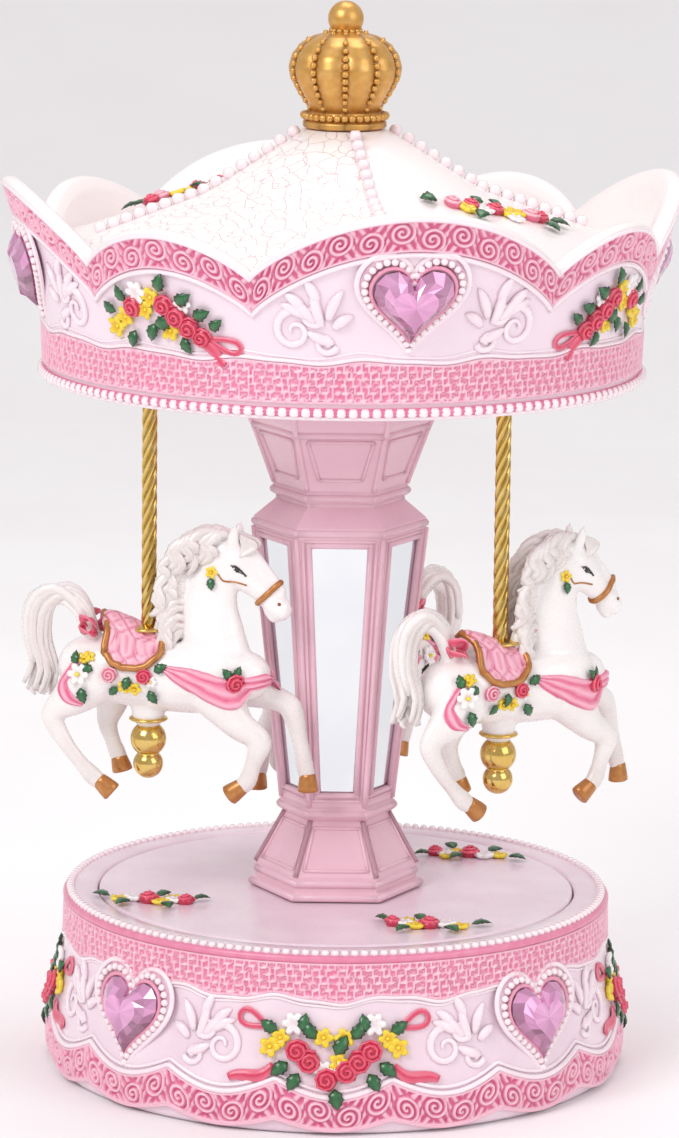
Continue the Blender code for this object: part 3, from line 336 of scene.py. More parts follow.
# die-cast zinc: duller and cloudier than the steel
zinc = paint("diecastZinc", "#85888A", "#A4A7A9", "#B9BCBE", blotch=5, grain=0.4, rough=0.42, coat=0,
             metal=1.0, tinted=False)
# moulded cover board under the base: dull pink with a coarse tooth
coverBoard = paint("mouldedCoverBoard", "#C999AA", "#DAB0BE", "#E2BECA", blotch=6, grain=0.35, bump=0.1,
                   rough=0.85, coat=0.0, tinted=False)
# pink saddle paint over a quilted pad, darker in its stitched lines
quiltPaint = paint("quiltedSaddlePaint", "#D0567F", "#F4B4C6", "#F9CBD8", blotch=3, rough=0.38)
# sash paint: deep rose in its folds, which is painted shade, and nearly white on the crests
sashPaint = paint("pleatedSashPaint", "#E05C88", "#F9B9CC", "#F49AB5", blotch=3, rough=0.34)
# thick gloss enamels on the flowers, ribbons and leaves; the dark colour that the tint lays in the
# creases and under the flowers and leaves is painted shade
ribbonPaint = paint("ribbonEnamel", "#D22F57", "#F58FA6", "#EC5F7F", blotch=3, rough=0.3, coat=0.4)
redPaint = paint("redEnamel", "#B8123B", "#EE5B78", "#D9304C", blotch=1.5, rough=0.28, coat=0.5)
pinkRosePaint = paint("pinkRoseEnamel", "#D94C78", "#F8BECB", "#F08DA8", blotch=1.5, rough=0.28, coat=0.5)
yellowPaint = paint("yellowEnamel", "#E9A90E", "#FBE436", "#F7D21E", blotch=1.5, rough=0.28, coat=0.5)
whitePaint = paint("whiteEnamel", "#E6D5DA", "#FFFDFB", "#FFFFFF", blotch=1.5, rough=0.26, coat=0.5)
leafPaint = paint("leafEnamel", "#0D2616", "#2C7A40", "#1A4A28", blotch=1.2, rough=0.3, coat=0.5,
                  spotShare=0.6)
# black enamel of the eyes, wet and glossy
darkPaint = paint("eyeEnamel", "#0D0B0C", "#241A1A", "#171213", blotch=1, rough=0.15, coat=0.8)
# silvered glass: a clean grey mirror, barely clouded
mirrorGlass = paint("silveredGlass", "#DDE1E6", "#EAEDF0", "#F4F6F8", blotch=30, grain=4.0, bump=0.002,
                    rough=0.045, coat=0.0, metal=1.0, roughSpread=0.015, tinted=False)
# cut acrylic stone, foil backed: the facets' tints, dark below and light above, are painted light
gemPaint = paint("foiledAcrylic", "#7C4A63", "#EDA6D6", "#F7CDEB", blotch=5, grain=6.0, bump=0.002,
                 rough=0.05, coat=1.0, metal=0.3, roughSpread=0.02, spotShare=0.25,
                 extra={"Coat Roughness": 0.02, "IOR": 1.49})
print("materials made")


def makeStudio():
    # a pale sweep, a big soft key from the left above, a fill on the right and a bright even sky
    size, rise, back = 3.0, 1.6, 0.9
    arc = np.linspace(0, np.pi / 2, 16)
    line = [(-size, -0.0004)] + [(back + rise * np.sin(a), rise - rise * np.cos(a) - 0.0004) for a in arc]
    line += [(back + rise, 3.2)]
    across = np.linspace(-size, size, 24)
    points = np.array([[(x, y, z) for x in across] for y, z in line]) / mm
    floorPaint = paint("paperSweep", "#F6F3F4", "#FAF8F9", "#FFFFFF", blotch=180, grain=2.0, bump=0.02,
                       rough=0.8, coat=0, tinted=False)
    flat, groups = grid(points)[:2]
    mesh = bpy.data.meshes.new("floor")
    mesh.from_pydata((flat * mm).tolist(), [], groups[0].tolist())
    mesh.polygons.foreach_set("use_smooth", np.full(len(mesh.polygons), True))
    mesh.attributes.new("tint", "FLOAT", "POINT")
    mesh.materials.append(floorPaint)
    floor = bpy.data.objects.new("floor", mesh)
    bpy.context.scene.collection.objects.link(floor)
    lamps = {"key": ((-0.9, -1.1, 1.25), 0.8, 13.5), "fill": ((1.1, -0.9, 0.8), 1.0, 5.5),
             "top": ((0.1, 0.3, 1.5), 0.8, 6.0)}
    for name, (place, width, power) in lamps.items():
        data = bpy.data.lights.new(name, "AREA")
        data.size = width
        data.energy = power
        lamp = bpy.data.objects.new(name, data)
        bpy.context.scene.collection.objects.link(lamp)
        aim = Matrix.Translation(place).to_translation() - Matrix.Translation((0, 0, 0.14)).to_translation()
        lamp.matrix_world = Matrix.Translation(place) @ aim.to_track_quat("Z", "Y").to_matrix().to_4x4()
    world = bpy.data.worlds.new("studio")
    bpy.context.scene.world = world
    world.use_nodes = True
    world.node_tree.nodes["Background"].inputs["Color"].default_value = (1, 0.985, 0.99, 1)
    world.node_tree.nodes["Background"].inputs["Strength"].default_value = 0.6
    bpy.context.scene.view_settings.view_transform = "Standard"


makeStudio()
print("studio set up")

# small decoration: roses, blossoms, leaves and ribbons, flat on (across, up) and rising along out


def roseShape():
    # a low dome with a petal edge wound round it as a spiral that climbs towards the middle
    reach = np.linspace(0, 1, 4)[:, None]
    turn = np.linspace(0, 2 * np.pi, 10, endpoint=False)[None]
    wide = np.array([0.7, 1.0, 0.85, 0.4])[:, None] * (1 + 0.06 * np.cos(5 * turn))
    high = np.array([-0.25, 0.2, 0.55, 0.72])[:, None] + 0 * reach
    # the dome's low tint is painted shade between the spiral petal edges, which are light
    dome = grid(np.stack([wide * np.cos(turn), wide * np.sin(turn), high + 0 * turn], -1), around=True,
                start=True, end=True, tint=0.15)
    step = np.linspace(0, 1, 20)
    wind = 2 * np.pi * 2.3 * step
    far = 0.98 * (1 - step) ** 0.9 + 0.1
    path = np.stack([far * np.cos(wind), far * np.sin(wind), 0.35 + 0.55 * step ** 0.8], -1)
    edge = tube(path, 0.14, sides=4, up=(0, 0, 1), flat=1.4, tint=1.0)
    return joined(dome, edge)


def blossomShape(petals, dip):
    # round petals from a cosine of the turn, cupped down in the middle, with a small dome for the eye
    turn = np.linspace(0, 2 * np.pi, petals * 4, endpoint=False)[None]
    lobe = 0.62 + 0.38 * np.abs(np.cos(petals * turn / 2)) ** 0.7
    reach = np.array([0.5, 0.96, 1.0, 0.62, 0.25])[:, None]
    high = np.array([-0.15, 0.12, 0.34, 0.42, 0.42 - dip])[:, None] + 0.08 * np.cos(petals * turn) * reach
    # tint: light petal rims, painted shade in the cupped middle and under the petals
    shade = np.array([0.3, 1.0, 1.0, 0.6, 0.1])[:, None] + 0 * turn
    return grid(np.stack([reach * lobe * np.cos(turn), reach * lobe * np.sin(turn), high], -1), around=True,
                start=True, end=True, tint=shade)


def leafShape():
    # a flat tube swelling and closing as a sine of its length, with a toothed edge and a raised vein
    step = np.linspace(0, 1, 9)
    path = np.stack([step * 2.0, 0 * step, 0.25 + 0.28 * np.sin(np.pi * step)], -1)
    wide = 0.05 + 0.62 * np.sin(np.pi * step ** 0.8) * (1 + 0.14 * np.cos(np.arange(9) * np.pi))
    points, groups, _ = tube(path, wide, sides=8, flat=0.32)
    # tint: the pale vein along the top is the leaf's own colour; the dark underside is painted shade
    shade = np.tile([0.15, 0.35, 0.9, 0.35, 0.15, 0.0, 0.0, 0.0], 9)
    return points, groups, np.append(shade, [0.2, 0.2])


def bandShape(path, wide, thick=0.35, up=(0, 0, 1), sides=8):
    # a ribbon with a rounded edge, lighter along its rims
    count = len(path)
    points, groups, _ = tube(path, wide / 2, sides=sides, up=up, flat=thick)
    turn = np.linspace(0, 2 * np.pi, sides, endpoint=False)
    shade = np.tile(np.abs(np.cos(turn)) ** 2, count)
    return points, groups, np.append(shade, [0.5, 0.5])


rose = roseShape()
blossom = blossomShape(5, 0.25)
daisy = blossomShape(6, 0.12)
leaf = leafShape()
pearl = ball(4, 8)
eye = ball(2, 6)


def turnedAxes(angles):
    # a turn in the flat of the pattern, as three axes for each place
    c, s, o = np.cos(angles), np.sin(angles), np.zeros(len(angles))
    return np.stack([np.stack([c, s, o], -1), np.stack([-s, c, o], -1), np.stack([o, o, o + 1], -1)], 1)


# what each letter in a row of flowers stands for: red and pink roses, yellow blossoms, white daisies, leaves
flowerKinds = {"r": (rose, redPaint), "p": (rose, pinkRosePaint), "y": (blossom, yellowPaint),
               "w": (daisy, whitePaint), "l": (leaf, leafPaint)}


def bunch(rows, fullness=1.16):
    # flowers and leaves at (kind, across, up, size, turn in degrees); the small eyes sit on the open flowers
    parts = []
    for kind, (shape, finish) in flowerKinds.items():
        chosen = [row for row in rows if row[0] == kind]
        if not chosen:
            continue
        numbers = np.array([row[1:] for row in chosen], float)
        size = numbers[:, 2] * fullness
        places = np.column_stack([numbers[:, :2], np.full(len(size), 0.3)])
        parts.append((repeated(shape, places, size, turnedAxes(np.radians(numbers[:, 3]))), finish))
        if kind in "yw":
            parts.append((repeated(eye, places + [0, 0, 0.4], size * 0.24), yellowPaint))
    return parts


def laidParts(parts, surface, bearing, start):
    # the same laying for every part of a cluster
    return [(laid(shape, surface, bearing, start), finish) for shape, finish in parts]


def curl(x, y, heading, turns, start, finish, thick, count=26, taper=0.35):
    # a scroll stem: a spiral whose radius falls from start to finish, thinning towards its eye
    step = np.linspace(0, 1, count)
    angle = np.radians(heading) + 2 * np.pi * turns * step
    far = start + (finish - start) * step ** 0.8
    path = np.stack([x + far * np.cos(angle), y + far * np.sin(angle), 0.25 + 0.2 * step], -1)
    return tube(path, thick * (1 - (1 - taper) * step), sides=6, flat=0.75, tint=0.9)


def frond(x, y, heading, length, bend, thick, count=9):
    # one leaf lobe: a fat curved drop, widest a third of the way out
    step = np.linspace(0, 1, count)
    angle = np.radians(heading) + np.radians(bend) * step
    ahead = np.cumsum(np.stack([np.cos(angle), np.sin(angle)], -1), 0) * length / count
    path = np.column_stack([x + ahead[:, 0], y + ahead[:, 1], 0.2 + 0.35 * np.sin(np.pi * step)])
    return tube(path, thick * np.sin(np.pi * np.clip(step * 0.86 + 0.12, 0, 1)) ** 0.7, sides=6, flat=0.7,
                tint=0.85)


def acanthus(side, scale):
    # two scrolls and a fan of lobes growing away from the stone, as one raised leaf; side is -1 or 1
    shapes = [curl(5.6, -3.0, 100, -1.3, 4.9, 0.8, 1.05), curl(-1.0, -5.4, 200, 1.2, 2.6, 0.6, 0.85),
              curl(1.8, 0.6, 215, 1.0, 2.7, 0.6, 0.85)]
    fan = [(-0.6, -3.0, 68, 9.6, 16), (0.6, -2.0, 52, 8.6, -8), (2.0, -0.8, 42, 7.6, -26),
           (3.2, 0.6, 66, 6.4, -40), (-1.4, -1.6, 96, 8.4, 34), (-2.4, -3.0, 118, 5.8, 48),
           (-3.4, -5.6, 12, 7.0, 20), (0.8, 2.2, 84, 6.6, -34)]
    shapes += [frond(x, y, heading, length, bend, 1.25) for x, y, heading, length, bend in fan]
    points, groups, tint = joined(*shapes)
    points = points * [scale * side, scale, scale * 0.9]
    if side < 0:
        groups = [faces[:, ::-1] for faces in groups]
    return points, groups, tint


def heartLine(count, width, height):
    # the heart curve: a cubed sine across, and four cosines up
    t = np.linspace(0, 2 * np.pi, 721)
    x = 16 * np.sin(t) ** 3
    y = 13 * np.cos(t) - 5 * np.cos(2 * t) - 2 * np.cos(3 * t) - np.cos(4 * t)
    x = x / 32 * width
    y = (y - y.min()) / np.ptp(y) * height - height / 2
    run = np.concatenate([[0], np.cumsum(np.hypot(np.diff(x), np.diff(y)))])
    even = np.linspace(0, run[-1], count, endpoint=False)
    return np.stack([np.interp(even, run, x), np.interp(even, run, y)], -1)


stone = {"width": 20.2, "height": 19.3, "deep": 5.0, "bead": 0.98, "margin": 4.4, "facets": 20}


def stoneSetting(width, height):
    # a rose lip close round the stone, a row of small pearls with gaps, and a low pale rim outside them
    line = heartLine(72, width + 1.2, height + 1.2)[::-1]
    lip = tube(np.column_stack([line, np.full(72, 1.0)]), 0.6, sides=8, closed=True, tint=0.45)
    bedLine = heartLine(96, width + stone["margin"], height + stone["margin"])[::-1]
    # the bed beneath the pearls has tint 0: painted shade in deeper pink
    bed = tube(np.column_stack([bedLine, np.full(96, 0.0)]), 1.5, sides=8, flat=0.4, closed=True, tint=0.0)
    rimLine = heartLine(96, width + stone["margin"] + 3.6, height + stone["margin"] + 3.6)[::-1]
    rim = tube(np.column_stack([rimLine, np.full(96, 0.2)]), 0.75, sides=8, flat=0.8, closed=True, tint=0.9)
    count = int((width + height) * 1.02)
    row = heartLine(count, width + stone["margin"], height + stone["margin"])
    beads = repeated(pearl, np.column_stack([row, np.full(count, 0.95)]), stone["bead"])
    return [(lip, roseGlaze), (bed, pearlRelief), (rim, pearlRelief), (beads, beadPearl)]


def stoneShape(width, height):
    # a cut heart: a girdle, a ring of broad kite facets climbing to a flat table, and a foiled back
    count = stone["facets"]
    shares, rises = (0.9, 1.0, 0.8, 0.56), (0.0, 0.32, 0.7, 0.98)
    rings = [heartLine(count, width * share, height * share)[::-1] for share in shares]
    points = np.array([np.column_stack([ring, np.full(count, stone["deep"] * rise)])
                       for ring, rise in zip(rings, rises)])
    points[2] = 0.5 * (np.roll(points[2], 1, 0) + points[2])
    return grid(points, around=True, start=True, end=True)


def paintedFacetLight(shape, up):
    # painted light on the foiled stone: upper facets lighter and lower ones darker, as light from above
    # would show them, each facet a little off its neighbours
    rng = np.random.default_rng(7)
    facetLight = []
    for faces in shape[1]:
        height = shape[0][faces].mean(1) @ up
        share = (height - height.min()) / max(np.ptp(height), 1e-6)
        facetLight.append(np.clip(0.1 + 0.75 * share + rng.uniform(-0.35, 0.35, len(faces)), 0, 1))
    # the table gets a brighter painted highlight
    facetLight[-1] = 0.55 + 0.45 * facetLight[-1]
    return np.concatenate(facetLight)


def placedOn(parts, bearing, radius, height, tilt):
    # a flat thing set on the wall: across along the wall, up along its slope, out along its normal
    turn, lean = np.radians(bearing), np.radians(tilt)
    out = np.array([np.sin(turn) * np.cos(lean), -np.cos(turn) * np.cos(lean), np.sin(lean)])
    across = np.array([np.cos(turn), np.sin(turn), 0.0])
    up = np.cross(out, across)
    origin = np.array([radius * np.sin(turn), -radius * np.cos(turn), height])
    return [((shape[0] @ np.array([across, up, out]) + origin, shape[1], shape[2]), finish)
            for shape, finish in parts]



def randomRow(seed, count):
    # a fixed row of random shares between 0 and 1 for this seed
    return np.random.default_rng(seed).random(count)


def scrollRelief(along, up, pitch):
    # a running row of spirals: the ridge is where (distance / ridge spacing - turn) is a whole number,
    # every other spiral turns the other way, and short commas fill the corners between them
    cell = np.floor(along / pitch)
    x = along - (cell + 0.5) * pitch
    odd = np.mod(cell, 2)
    y = up - np.where(odd > 0, 0.12, -0.12) * pitch
    spin = np.where(odd > 0, 1.0, -1.0)
    far = np.hypot(x, y * 1.06)
    turn = np.arctan2(y, x) / (2 * np.pi) * spin
    spacing = pitch * 0.2
    wave = np.cos(2 * np.pi * (far / spacing - turn))
    spiral = np.clip(0.5 + 0.9 * wave, 0, 1)
    inside = np.clip((pitch * 0.47 - far) / (pitch * 0.05), 0, 1)
    comma = np.cos(2 * np.pi * (up / spacing * 0.42 + np.abs(x) / spacing * 0.55 * spin))
    outer = np.clip(0.35 + 0.7 * comma, 0, 0.85)
    return spiral * inside + outer * (1 - inside)


def laceRelief(along, up, length, seed):
    # crocheted lace: courses of little bricks of uneven width, each an open frame of pale thread, with a
    # second thinner thread inside the wider ones
    course = 1.75
    row = np.floor(up / course).astype(int)
    count = int(length / 2.2)
    dark = np.ones_like(along)
    for number in np.unique(row):
        edges = np.sort((np.arange(count) + 0.62 * randomRow(seed + number, count)) / count * length)
        here = row == number
        place = along[here]
        after = np.searchsorted(edges, place)
        low = edges[np.clip(after - 1, 0, count - 1)]
        high = edges[np.clip(after, 0, count - 1)]
        side = np.minimum(np.abs(place - low), np.abs(high - place))
        lift = up[here] - number * course + 0.22 * np.sin(place * 1.9 + number * 2.1)
        level = np.minimum(np.abs(lift), np.abs(course - lift))
        near = np.minimum(side, level)
        inner = np.abs(near - 0.62)
        dark[here] = np.clip(1 - (near - 0.16) / 0.16, 0, 1)
        dark[here] = np.maximum(dark[here], 0.75 * np.clip(1 - inner / 0.13, 0, 1) * (high - low > 2.1))
    return dark


def ringBand(radiusAt, lowLine, highLine, relief, rows, proud, deep, finish, columns=2160):
    # a raised strip round the wall between two wavy lines; it starts and ends inside the wall, so it is
    # closed
    bearing = np.linspace(0, 360, columns, endpoint=False)[None]
    share = np.linspace(0, 1, rows)[:, None]
    low, high = lowLine(bearing), highLine(bearing)
    height = low + (high - low) * share
    radius = radiusAt(height)
    raised = relief(bearing, share, height)
    lift = proud - deep * (1 - raised)
    front = bearingPoints(radius + lift, bearing, height)
    below = bearingPoints(radius[:1] - 1.2 + 0 * low, bearing, low - 0.1)
    above = bearingPoints(radius[-1:] - 1.2 + 0 * low, bearing, high + 0.1)
    whole = np.concatenate([below, front, above])
    shade = np.concatenate([raised[:1] * 0 + 0.6, raised, raised[:1] * 0 + 0.6])
    return (grid(whole, around=True, along=True, tint=shade), finish)

canopy = {"bottom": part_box("canopy_shell")[0].z / mm, "peaks": (52.6, 46.0), "valley": 36.5,
          "halfWidths": (28.0, 17.0), "firstPeak": 12.0, "wall": 5.0, "roofEdge": 34.0, "laceLow": 4.3,
          "laceHigh": 14.2, "bandHigh": 7.9, "bandGap": 1.7, "spirals": (12, 7), "ropeBeads": 168,
          "roofBeads": 16, "roofBead": 1.75, "stoneUp": 29.3, "stoneTilt": -16.0, "stoneRadius": 81.9,
          "leavesAside": 22.0, "leavesUp": 26.0, "laceRound": 488, "laceSeed": 11}
roofLine = np.array([[77.2, 34.0], [60.0, 40.0], [36.0, 48.5], [10.9, 64.5]])


def canopyRadius(height):
    # the wall's radius between the heights at which it was measured, flaring to the rim
    above = np.asarray(height) - canopy["bottom"]
    return np.interp(above, [0, 14, 20, 29, 39, 52.6], [77.3, 77.8, 78.6, 80.8, 83.8, 88.5])


def scallop(bearing):
    # which kind of scallop a bearing falls in, and how far along it from -1 to 1
    away = np.mod(bearing - canopy["firstPeak"] + 45, 90) - 45
    large = np.abs(away) <= canopy["halfWidths"][0]
    other = np.where(away > 0, away - 45, away + 45)
    return large, np.where(large, away / canopy["halfWidths"][0], other / canopy["halfWidths"][1])


def rimHeight(bearing):
    # each scallop is a flattened cosine between two valleys
    large, share = scallop(bearing)
    peak = np.where(large, canopy["peaks"][0], canopy["peaks"][1])
    lift = np.cos(np.clip(share, -1, 1) * np.pi / 2) ** 0.8
    return canopy["bottom"] + canopy["valley"] + (peak - canopy["valley"]) * lift


def scallopCells(bearing):
    # a whole number of spirals in each scallop, spaced evenly by the true length of its curve
    large, share = scallop(bearing)
    fine = np.linspace(-1, 1, 241)
    found = np.zeros_like(share)
    for kind, peak, half, count in zip((True, False), canopy["peaks"], canopy["halfWidths"],
                                       canopy["spirals"]):
        across = np.radians(half) * 86 * fine
        high = (peak - canopy["valley"]) * np.cos(fine * np.pi / 2) ** 0.8
        run = np.concatenate([[0], np.cumsum(np.hypot(np.diff(across), np.diff(high)))])
        cells = np.interp(share, fine, run / run[-1]) * count
        found = np.where(large == kind, cells, found)
    return found


def turnedSurface(radiusAt):
    # what laid() asks for: the radius and height at a height, and the outward direction there
    def surface(height):
        # the normal leans down by the wall's slope: out = 1 / length, up = -slope / length
        slope = radiusAt(height + 0.5) - radiusAt(height - 0.5)
        size = np.sqrt(1 + slope ** 2)
        return radiusAt(height), height, 1 / size, -slope / size
    return surface


def roofSurface(up):
    # up runs from the eaves to the crown, so the radius is what is left of it
    radius = -np.asarray(up)
    order = roofLine[::-1]
    height = np.interp(radius, order[:, 0], order[:, 1]) + canopy["bottom"]
    ahead = np.interp(radius + 0.5, order[:, 0], order[:, 1]) - np.interp(radius - 0.5, order[:, 0],
                                                                          order[:, 1])
    size = np.sqrt(1 + ahead ** 2)
    return radius, height, -ahead / size, 1 / size


def canopyBody():
    # one closed section carried round: outer wall, rolled rim, inner wall, roof, and back underneath
    bearing = np.linspace(0, 360, 720, endpoint=False)[None]
    rim = rimHeight(bearing)
    low = canopy["bottom"]
    wallShare = np.linspace(0, 1, 22)[:, None]
    heights = [low + 0 * rim, low + 0 * rim, low + 0.6 + 0 * rim]
    radii = [72.5 + 0 * rim, 76.8 + 0 * rim, 77.3 + 0 * rim]
    outer = low + 1.2 + (rim - 1.6 - low - 1.2) * wallShare
    heights += list(outer[:, None])
    radii += list(canopyRadius(outer)[:, None])
    edge = canopyRadius(rim)
    for inward, fall in ((-0.35, 1.0), (-0.1, 0.25), (1.0, -0.25), (2.6, -0.2), (3.9, 0.5), (4.5, 1.6)):
        heights.append(rim - fall)
        radii.append(edge - inward)
    roofEdge = canopy["roofEdge"]
    inner = low + roofEdge + 0.6 + (rim - 2.4 - low - roofEdge - 0.6) * (1 - wallShare[::3])
    heights += list(inner[:, None])
    radii += list(canopyRadius(inner)[:, None] - 4.8)
    across = np.linspace(0, 1, 14)[:, None]
    reach = np.interp(across, [0, 0.3, 0.65, 1], roofLine[:, 0])
    rise = np.interp(across, [0, 0.3, 0.65, 1], roofLine[:, 1]) + low
    heights += [value + 0 * rim for value in rise]
    radii += [value + 0 * rim for value in reach]
    for radius, height in ((4.0, 64.6), (4.0, 61.4), (36.0, 45.2), (60.0, 36.8), (72.5, 31.0)):
        heights.append(low + height + 0 * rim)
        radii.append(radius + 0 * rim)
    heights = np.concatenate([np.reshape(row, (1, -1)) for row in heights])
    radii = np.concatenate([np.reshape(row, (1, -1)) for row in radii])
    # tint: 0 on the wall, cream from the rim inwards, and 1 on the two crazed roof panels
    fromString = np.mod(bearing - canopy["firstPeak"], 180)
    crazed = np.clip((fromString - 91) / 2, 0, 1) * np.clip((179 - fromString) / 2, 0, 1)
    tint = np.zeros_like(heights)
    tint[25:] = 0.8
    roofStart = 3 + 22 + 6 + len(wallShare[::3])
    tint[roofStart:roofStart + 14] = 0.8 + 0.2 * crazed
    return grid(bearingPoints(radii, bearing, heights), around=True, along=True, tint=tint)


def borders(share, raised, width):
    # a plain raised line along both edges of a band
    edge = np.minimum(share, 1 - share)
    return np.maximum(raised, np.clip(1.4 - edge / width, 0, 1))


def wavyLine(line, radiusAt, out, thick, finish, tint=0.95, count=720):
    # a thin rod that follows a line round the wall, standing out from it by a fixed step
    bearing = np.linspace(0, 360, count, endpoint=False)
    height = line(bearing)
    path = bearingPoints(radiusAt(height) + out, bearing, height)
    return (tube(path, thick, sides=6, closed=True, tint=tint), finish)


def level(height):
    # a line that stays at one height all round
    def line(bearing):
        return height + 0 * bearing
    return line


def moved(line, *steps):
    # a line carried up by each step in turn
    def carried(bearing):
        height = line(bearing)
        for step in steps:
            height = height + step
        return height
    return carried


def makeCanopy():
    # the cast shell, its scroll band and lace band, then leaves, stones, roof pearls and flowers at their
    # bearings
    low = canopy["bottom"]
    radiusAt = canopyRadius
    addPiece("canopyBody", [(canopyBody(), canopyLacquer)], "carousel",
             replaces=["canopy_shell"])

    def scroll(bearing, share, height):
        cells = scallopCells(bearing)
        return borders(share, scrollRelief(cells * 8.0 + 0 * share, (share - 0.5) * 8.4, 8.0), 0.07)

    bandTop = moved(rimHeight, -canopy["bandGap"])
    bandFoot = moved(bandTop, -canopy["bandHigh"])
    band = ringBand(radiusAt, bandFoot, bandTop, scroll, 30, 1.0, 0.9, roseGlaze)
    underLine = wavyLine(moved(bandFoot, -0.9), radiusAt, 0.35, 0.75, pearlRelief)
    overLine = wavyLine(moved(bandTop, 0.2), radiusAt, 0.6, 0.6, pearlRelief)
    addPiece("canopyScrollBand", [band, underLine, overLine], "carousel")

    def lace(bearing, share, height):
        around = np.broadcast_to(bearing / 360 * canopy["laceRound"], height.shape)
        return borders(share, laceRelief(around, height - low, canopy["laceRound"], canopy["laceSeed"]),
                       0.05)

    def topLine(bearing):
        turn = np.radians(bearing)
        return low + canopy["laceHigh"] + 0.55 * np.sin(turn * 16) + 0.2 * np.sin(turn * 31)

    def threadLine(bearing):
        return topLine(bearing) + 2.0 + 0.3 * np.sin(np.radians(bearing) * 16 + 1)

    band = ringBand(radiusAt, level(low + canopy["laceLow"]), topLine, lace, 30, 0.75, 0.55, lacePaint)
    lines = [wavyLine(moved(topLine, 0.7), radiusAt, 0.2, 0.55, pearlRelief),
             wavyLine(threadLine, radiusAt, 0.0, 0.35, pearlRelief)]
    bearing = np.linspace(0, 360, canopy["ropeBeads"], endpoint=False)
    beads = repeated(pearl, bearingPoints(78.0, bearing, low + 2.0), 1.42)
    behind = wavyLine(level(low + 2.1), radiusAt, 0.25, 1.25, roseGlaze, tint=0.1)
    foot = wavyLine(level(low + 0.75), radiusAt, 0.1, 0.75, pearlRelief)
    addPiece("canopyLaceBand", [band] + lines + [(beads, beadPearl), behind, foot], "carousel")

    wall = turnedSurface(radiusAt)
    decor = []
    for number in range(4):
        bearing = canopy["firstPeak"] + 90 * number
        for side in (-1, 1):
            leafScroll = acanthus(side, 1.18)
            leaves = (leafScroll[0] + [side * canopy["leavesAside"], 0, 0], leafScroll[1], leafScroll[2])
            decor += laidParts([(leaves, pearlRelief)], wall, bearing, low + canopy["leavesUp"])
        decor += placedOn(stoneSetting(stone["width"], stone["height"]), bearing,
                          canopy["stoneRadius"] - 0.9, low + canopy["stoneUp"], canopy["stoneTilt"])
        string = np.linspace(13.0, 63.5, canopy["roofBeads"])
        radius, height, outR, outZ = roofSurface(-string)
        decor.append((repeated(pearl, bearingPoints(radius + outR, bearing, height + outZ * 0.9),
                               canopy["roofBead"]), beadPearl))
    addPiece("canopyRelief", decor, "carousel")
    for number in range(4):
        cut = placedOn([(stoneShape(stone["width"], stone["height"]), gemPaint)],
                       canopy["firstPeak"] + 90 * number, canopy["stoneRadius"] - 0.4,
                       low + canopy["stoneUp"], canopy["stoneTilt"])
        owner = nearest("canopy_gem_", cut[0][0][0].mean(0))
        addPiece(f"canopyStone{number + 1}", cut, "carousel", replaces=[owner],
                 facetShade=paintedFacetLight(cut[0][0], np.array([0, 0, 1.0])))
    flowers = []
    for number in range(4):
        side = -1 if number % 2 else 1
        flowers += laidParts(canopyBunch(side), wall, -33 + 90 * number, low + 23.5)
    for number in (0, 2):
        flowers += laidParts(roofSpray(), roofSurface, 60 + 90 * number, -46.0)
    addPiece("canopyFlowers", flowers, "carousel")


def nearest(prefix, place):
    # the CAD node of that name whose middle is closest to a place
    middles = {name: np.array((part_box(name)[0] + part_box(name)[1]) / 2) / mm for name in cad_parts
               if name.startswith(prefix)}
    return min(middles, key=lambda name: np.linalg.norm(middles[name] - place))


def ribbonLoop(x, y, long, heading, spread):
    # a teardrop loop: a sine of the turn across, a raised cosine along
    turn = np.linspace(-np.pi, np.pi, 22)
    along, across = long * (1 + np.cos(turn)) / 2, spread * np.sin(turn) * (1 + np.cos(turn)) / 2
    angle = np.radians(heading)
    path = np.column_stack([x + along * np.cos(angle) - across * np.sin(angle),
                            y + along * np.sin(angle) + across * np.cos(angle), 0.55 + 0 * turn])
    return bandShape(path, 1.5, 0.6)


def ribbonTail(x, y, long, heading, sway):
    # a strip along a straight heading, swayed sideways by a sine; it is widest at its middle
    step = np.linspace(0, 1, 16)
    angle = np.radians(heading)
    across = sway * np.sin(step * 2 * np.pi * 0.8)
    path = np.column_stack([x + long * step * np.cos(angle) - across * np.sin(angle),
                            y + long * step * np.sin(angle) + across * np.cos(angle),
                            0.5 + 0.3 * np.sin(step * 7)])
    return bandShape(path, 2.0 + 1.2 * np.sin(np.pi * step), 0.4)


def mirrored(parts, side):
    # the other side: across changes sign and the faces turn round
    if side > 0:
        return parts
    return [((shape[0] * [-1, 1, 1], [faces[:, ::-1] for faces in shape[1]], shape[2]), finish)
            for shape, finish in parts]


def canopyBunch(side):
    # a slanting bunch between two stones, with a ribbon at its foot
    rows = [("y", -16.5, -3.2, 2.5, 0), ("y", -13, -0.4, 2.4, 40), ("r", -9.5, 2.4, 2.3, 20),
            ("w", -8, 6.4, 2.7, 0), ("y", -3.8, 5.4, 2.4, 30), ("y", -6, 2.0, 2.2, 0),
            ("r", 0.2, 3.8, 2.3, 0), ("r", 3.4, 1.2, 2.4, 90), ("y", 1.0, -2.6, 2.5, 10),
            ("r", 6.8, -1.6, 2.4, 40), ("w", 5.4, 4.4, 2.2, 0), ("r", 10, -3.8, 2.2, 0),
            ("l", -12, 3.6, 2.1, 120), ("l", -1, 7.2, 2.2, 70), ("l", 3.5, 4.6, 2.3, 30),
            ("l", -3.4, -1.2, 2.2, 250), ("l", 8, 1.4, 2.2, 20), ("l", -10, -3.6, 2.1, 250),
            ("l", 4.4, -4.2, 2.0, 300), ("l", -16, 0.6, 2, 150), ("l", 1.8, 0.2, 2.4, 200),
            ("l", 12.4, -1.6, 1.9, 40)]
    parts = bunch(rows)
    parts.append((ribbonLoop(10.5, -4.0, 10.0, -14, 2.4), ribbonPaint))
    parts.append((ribbonTail(9.5, -5.5, 8.0, -34, 0.8), ribbonPaint))
    return mirrored(parts, side)


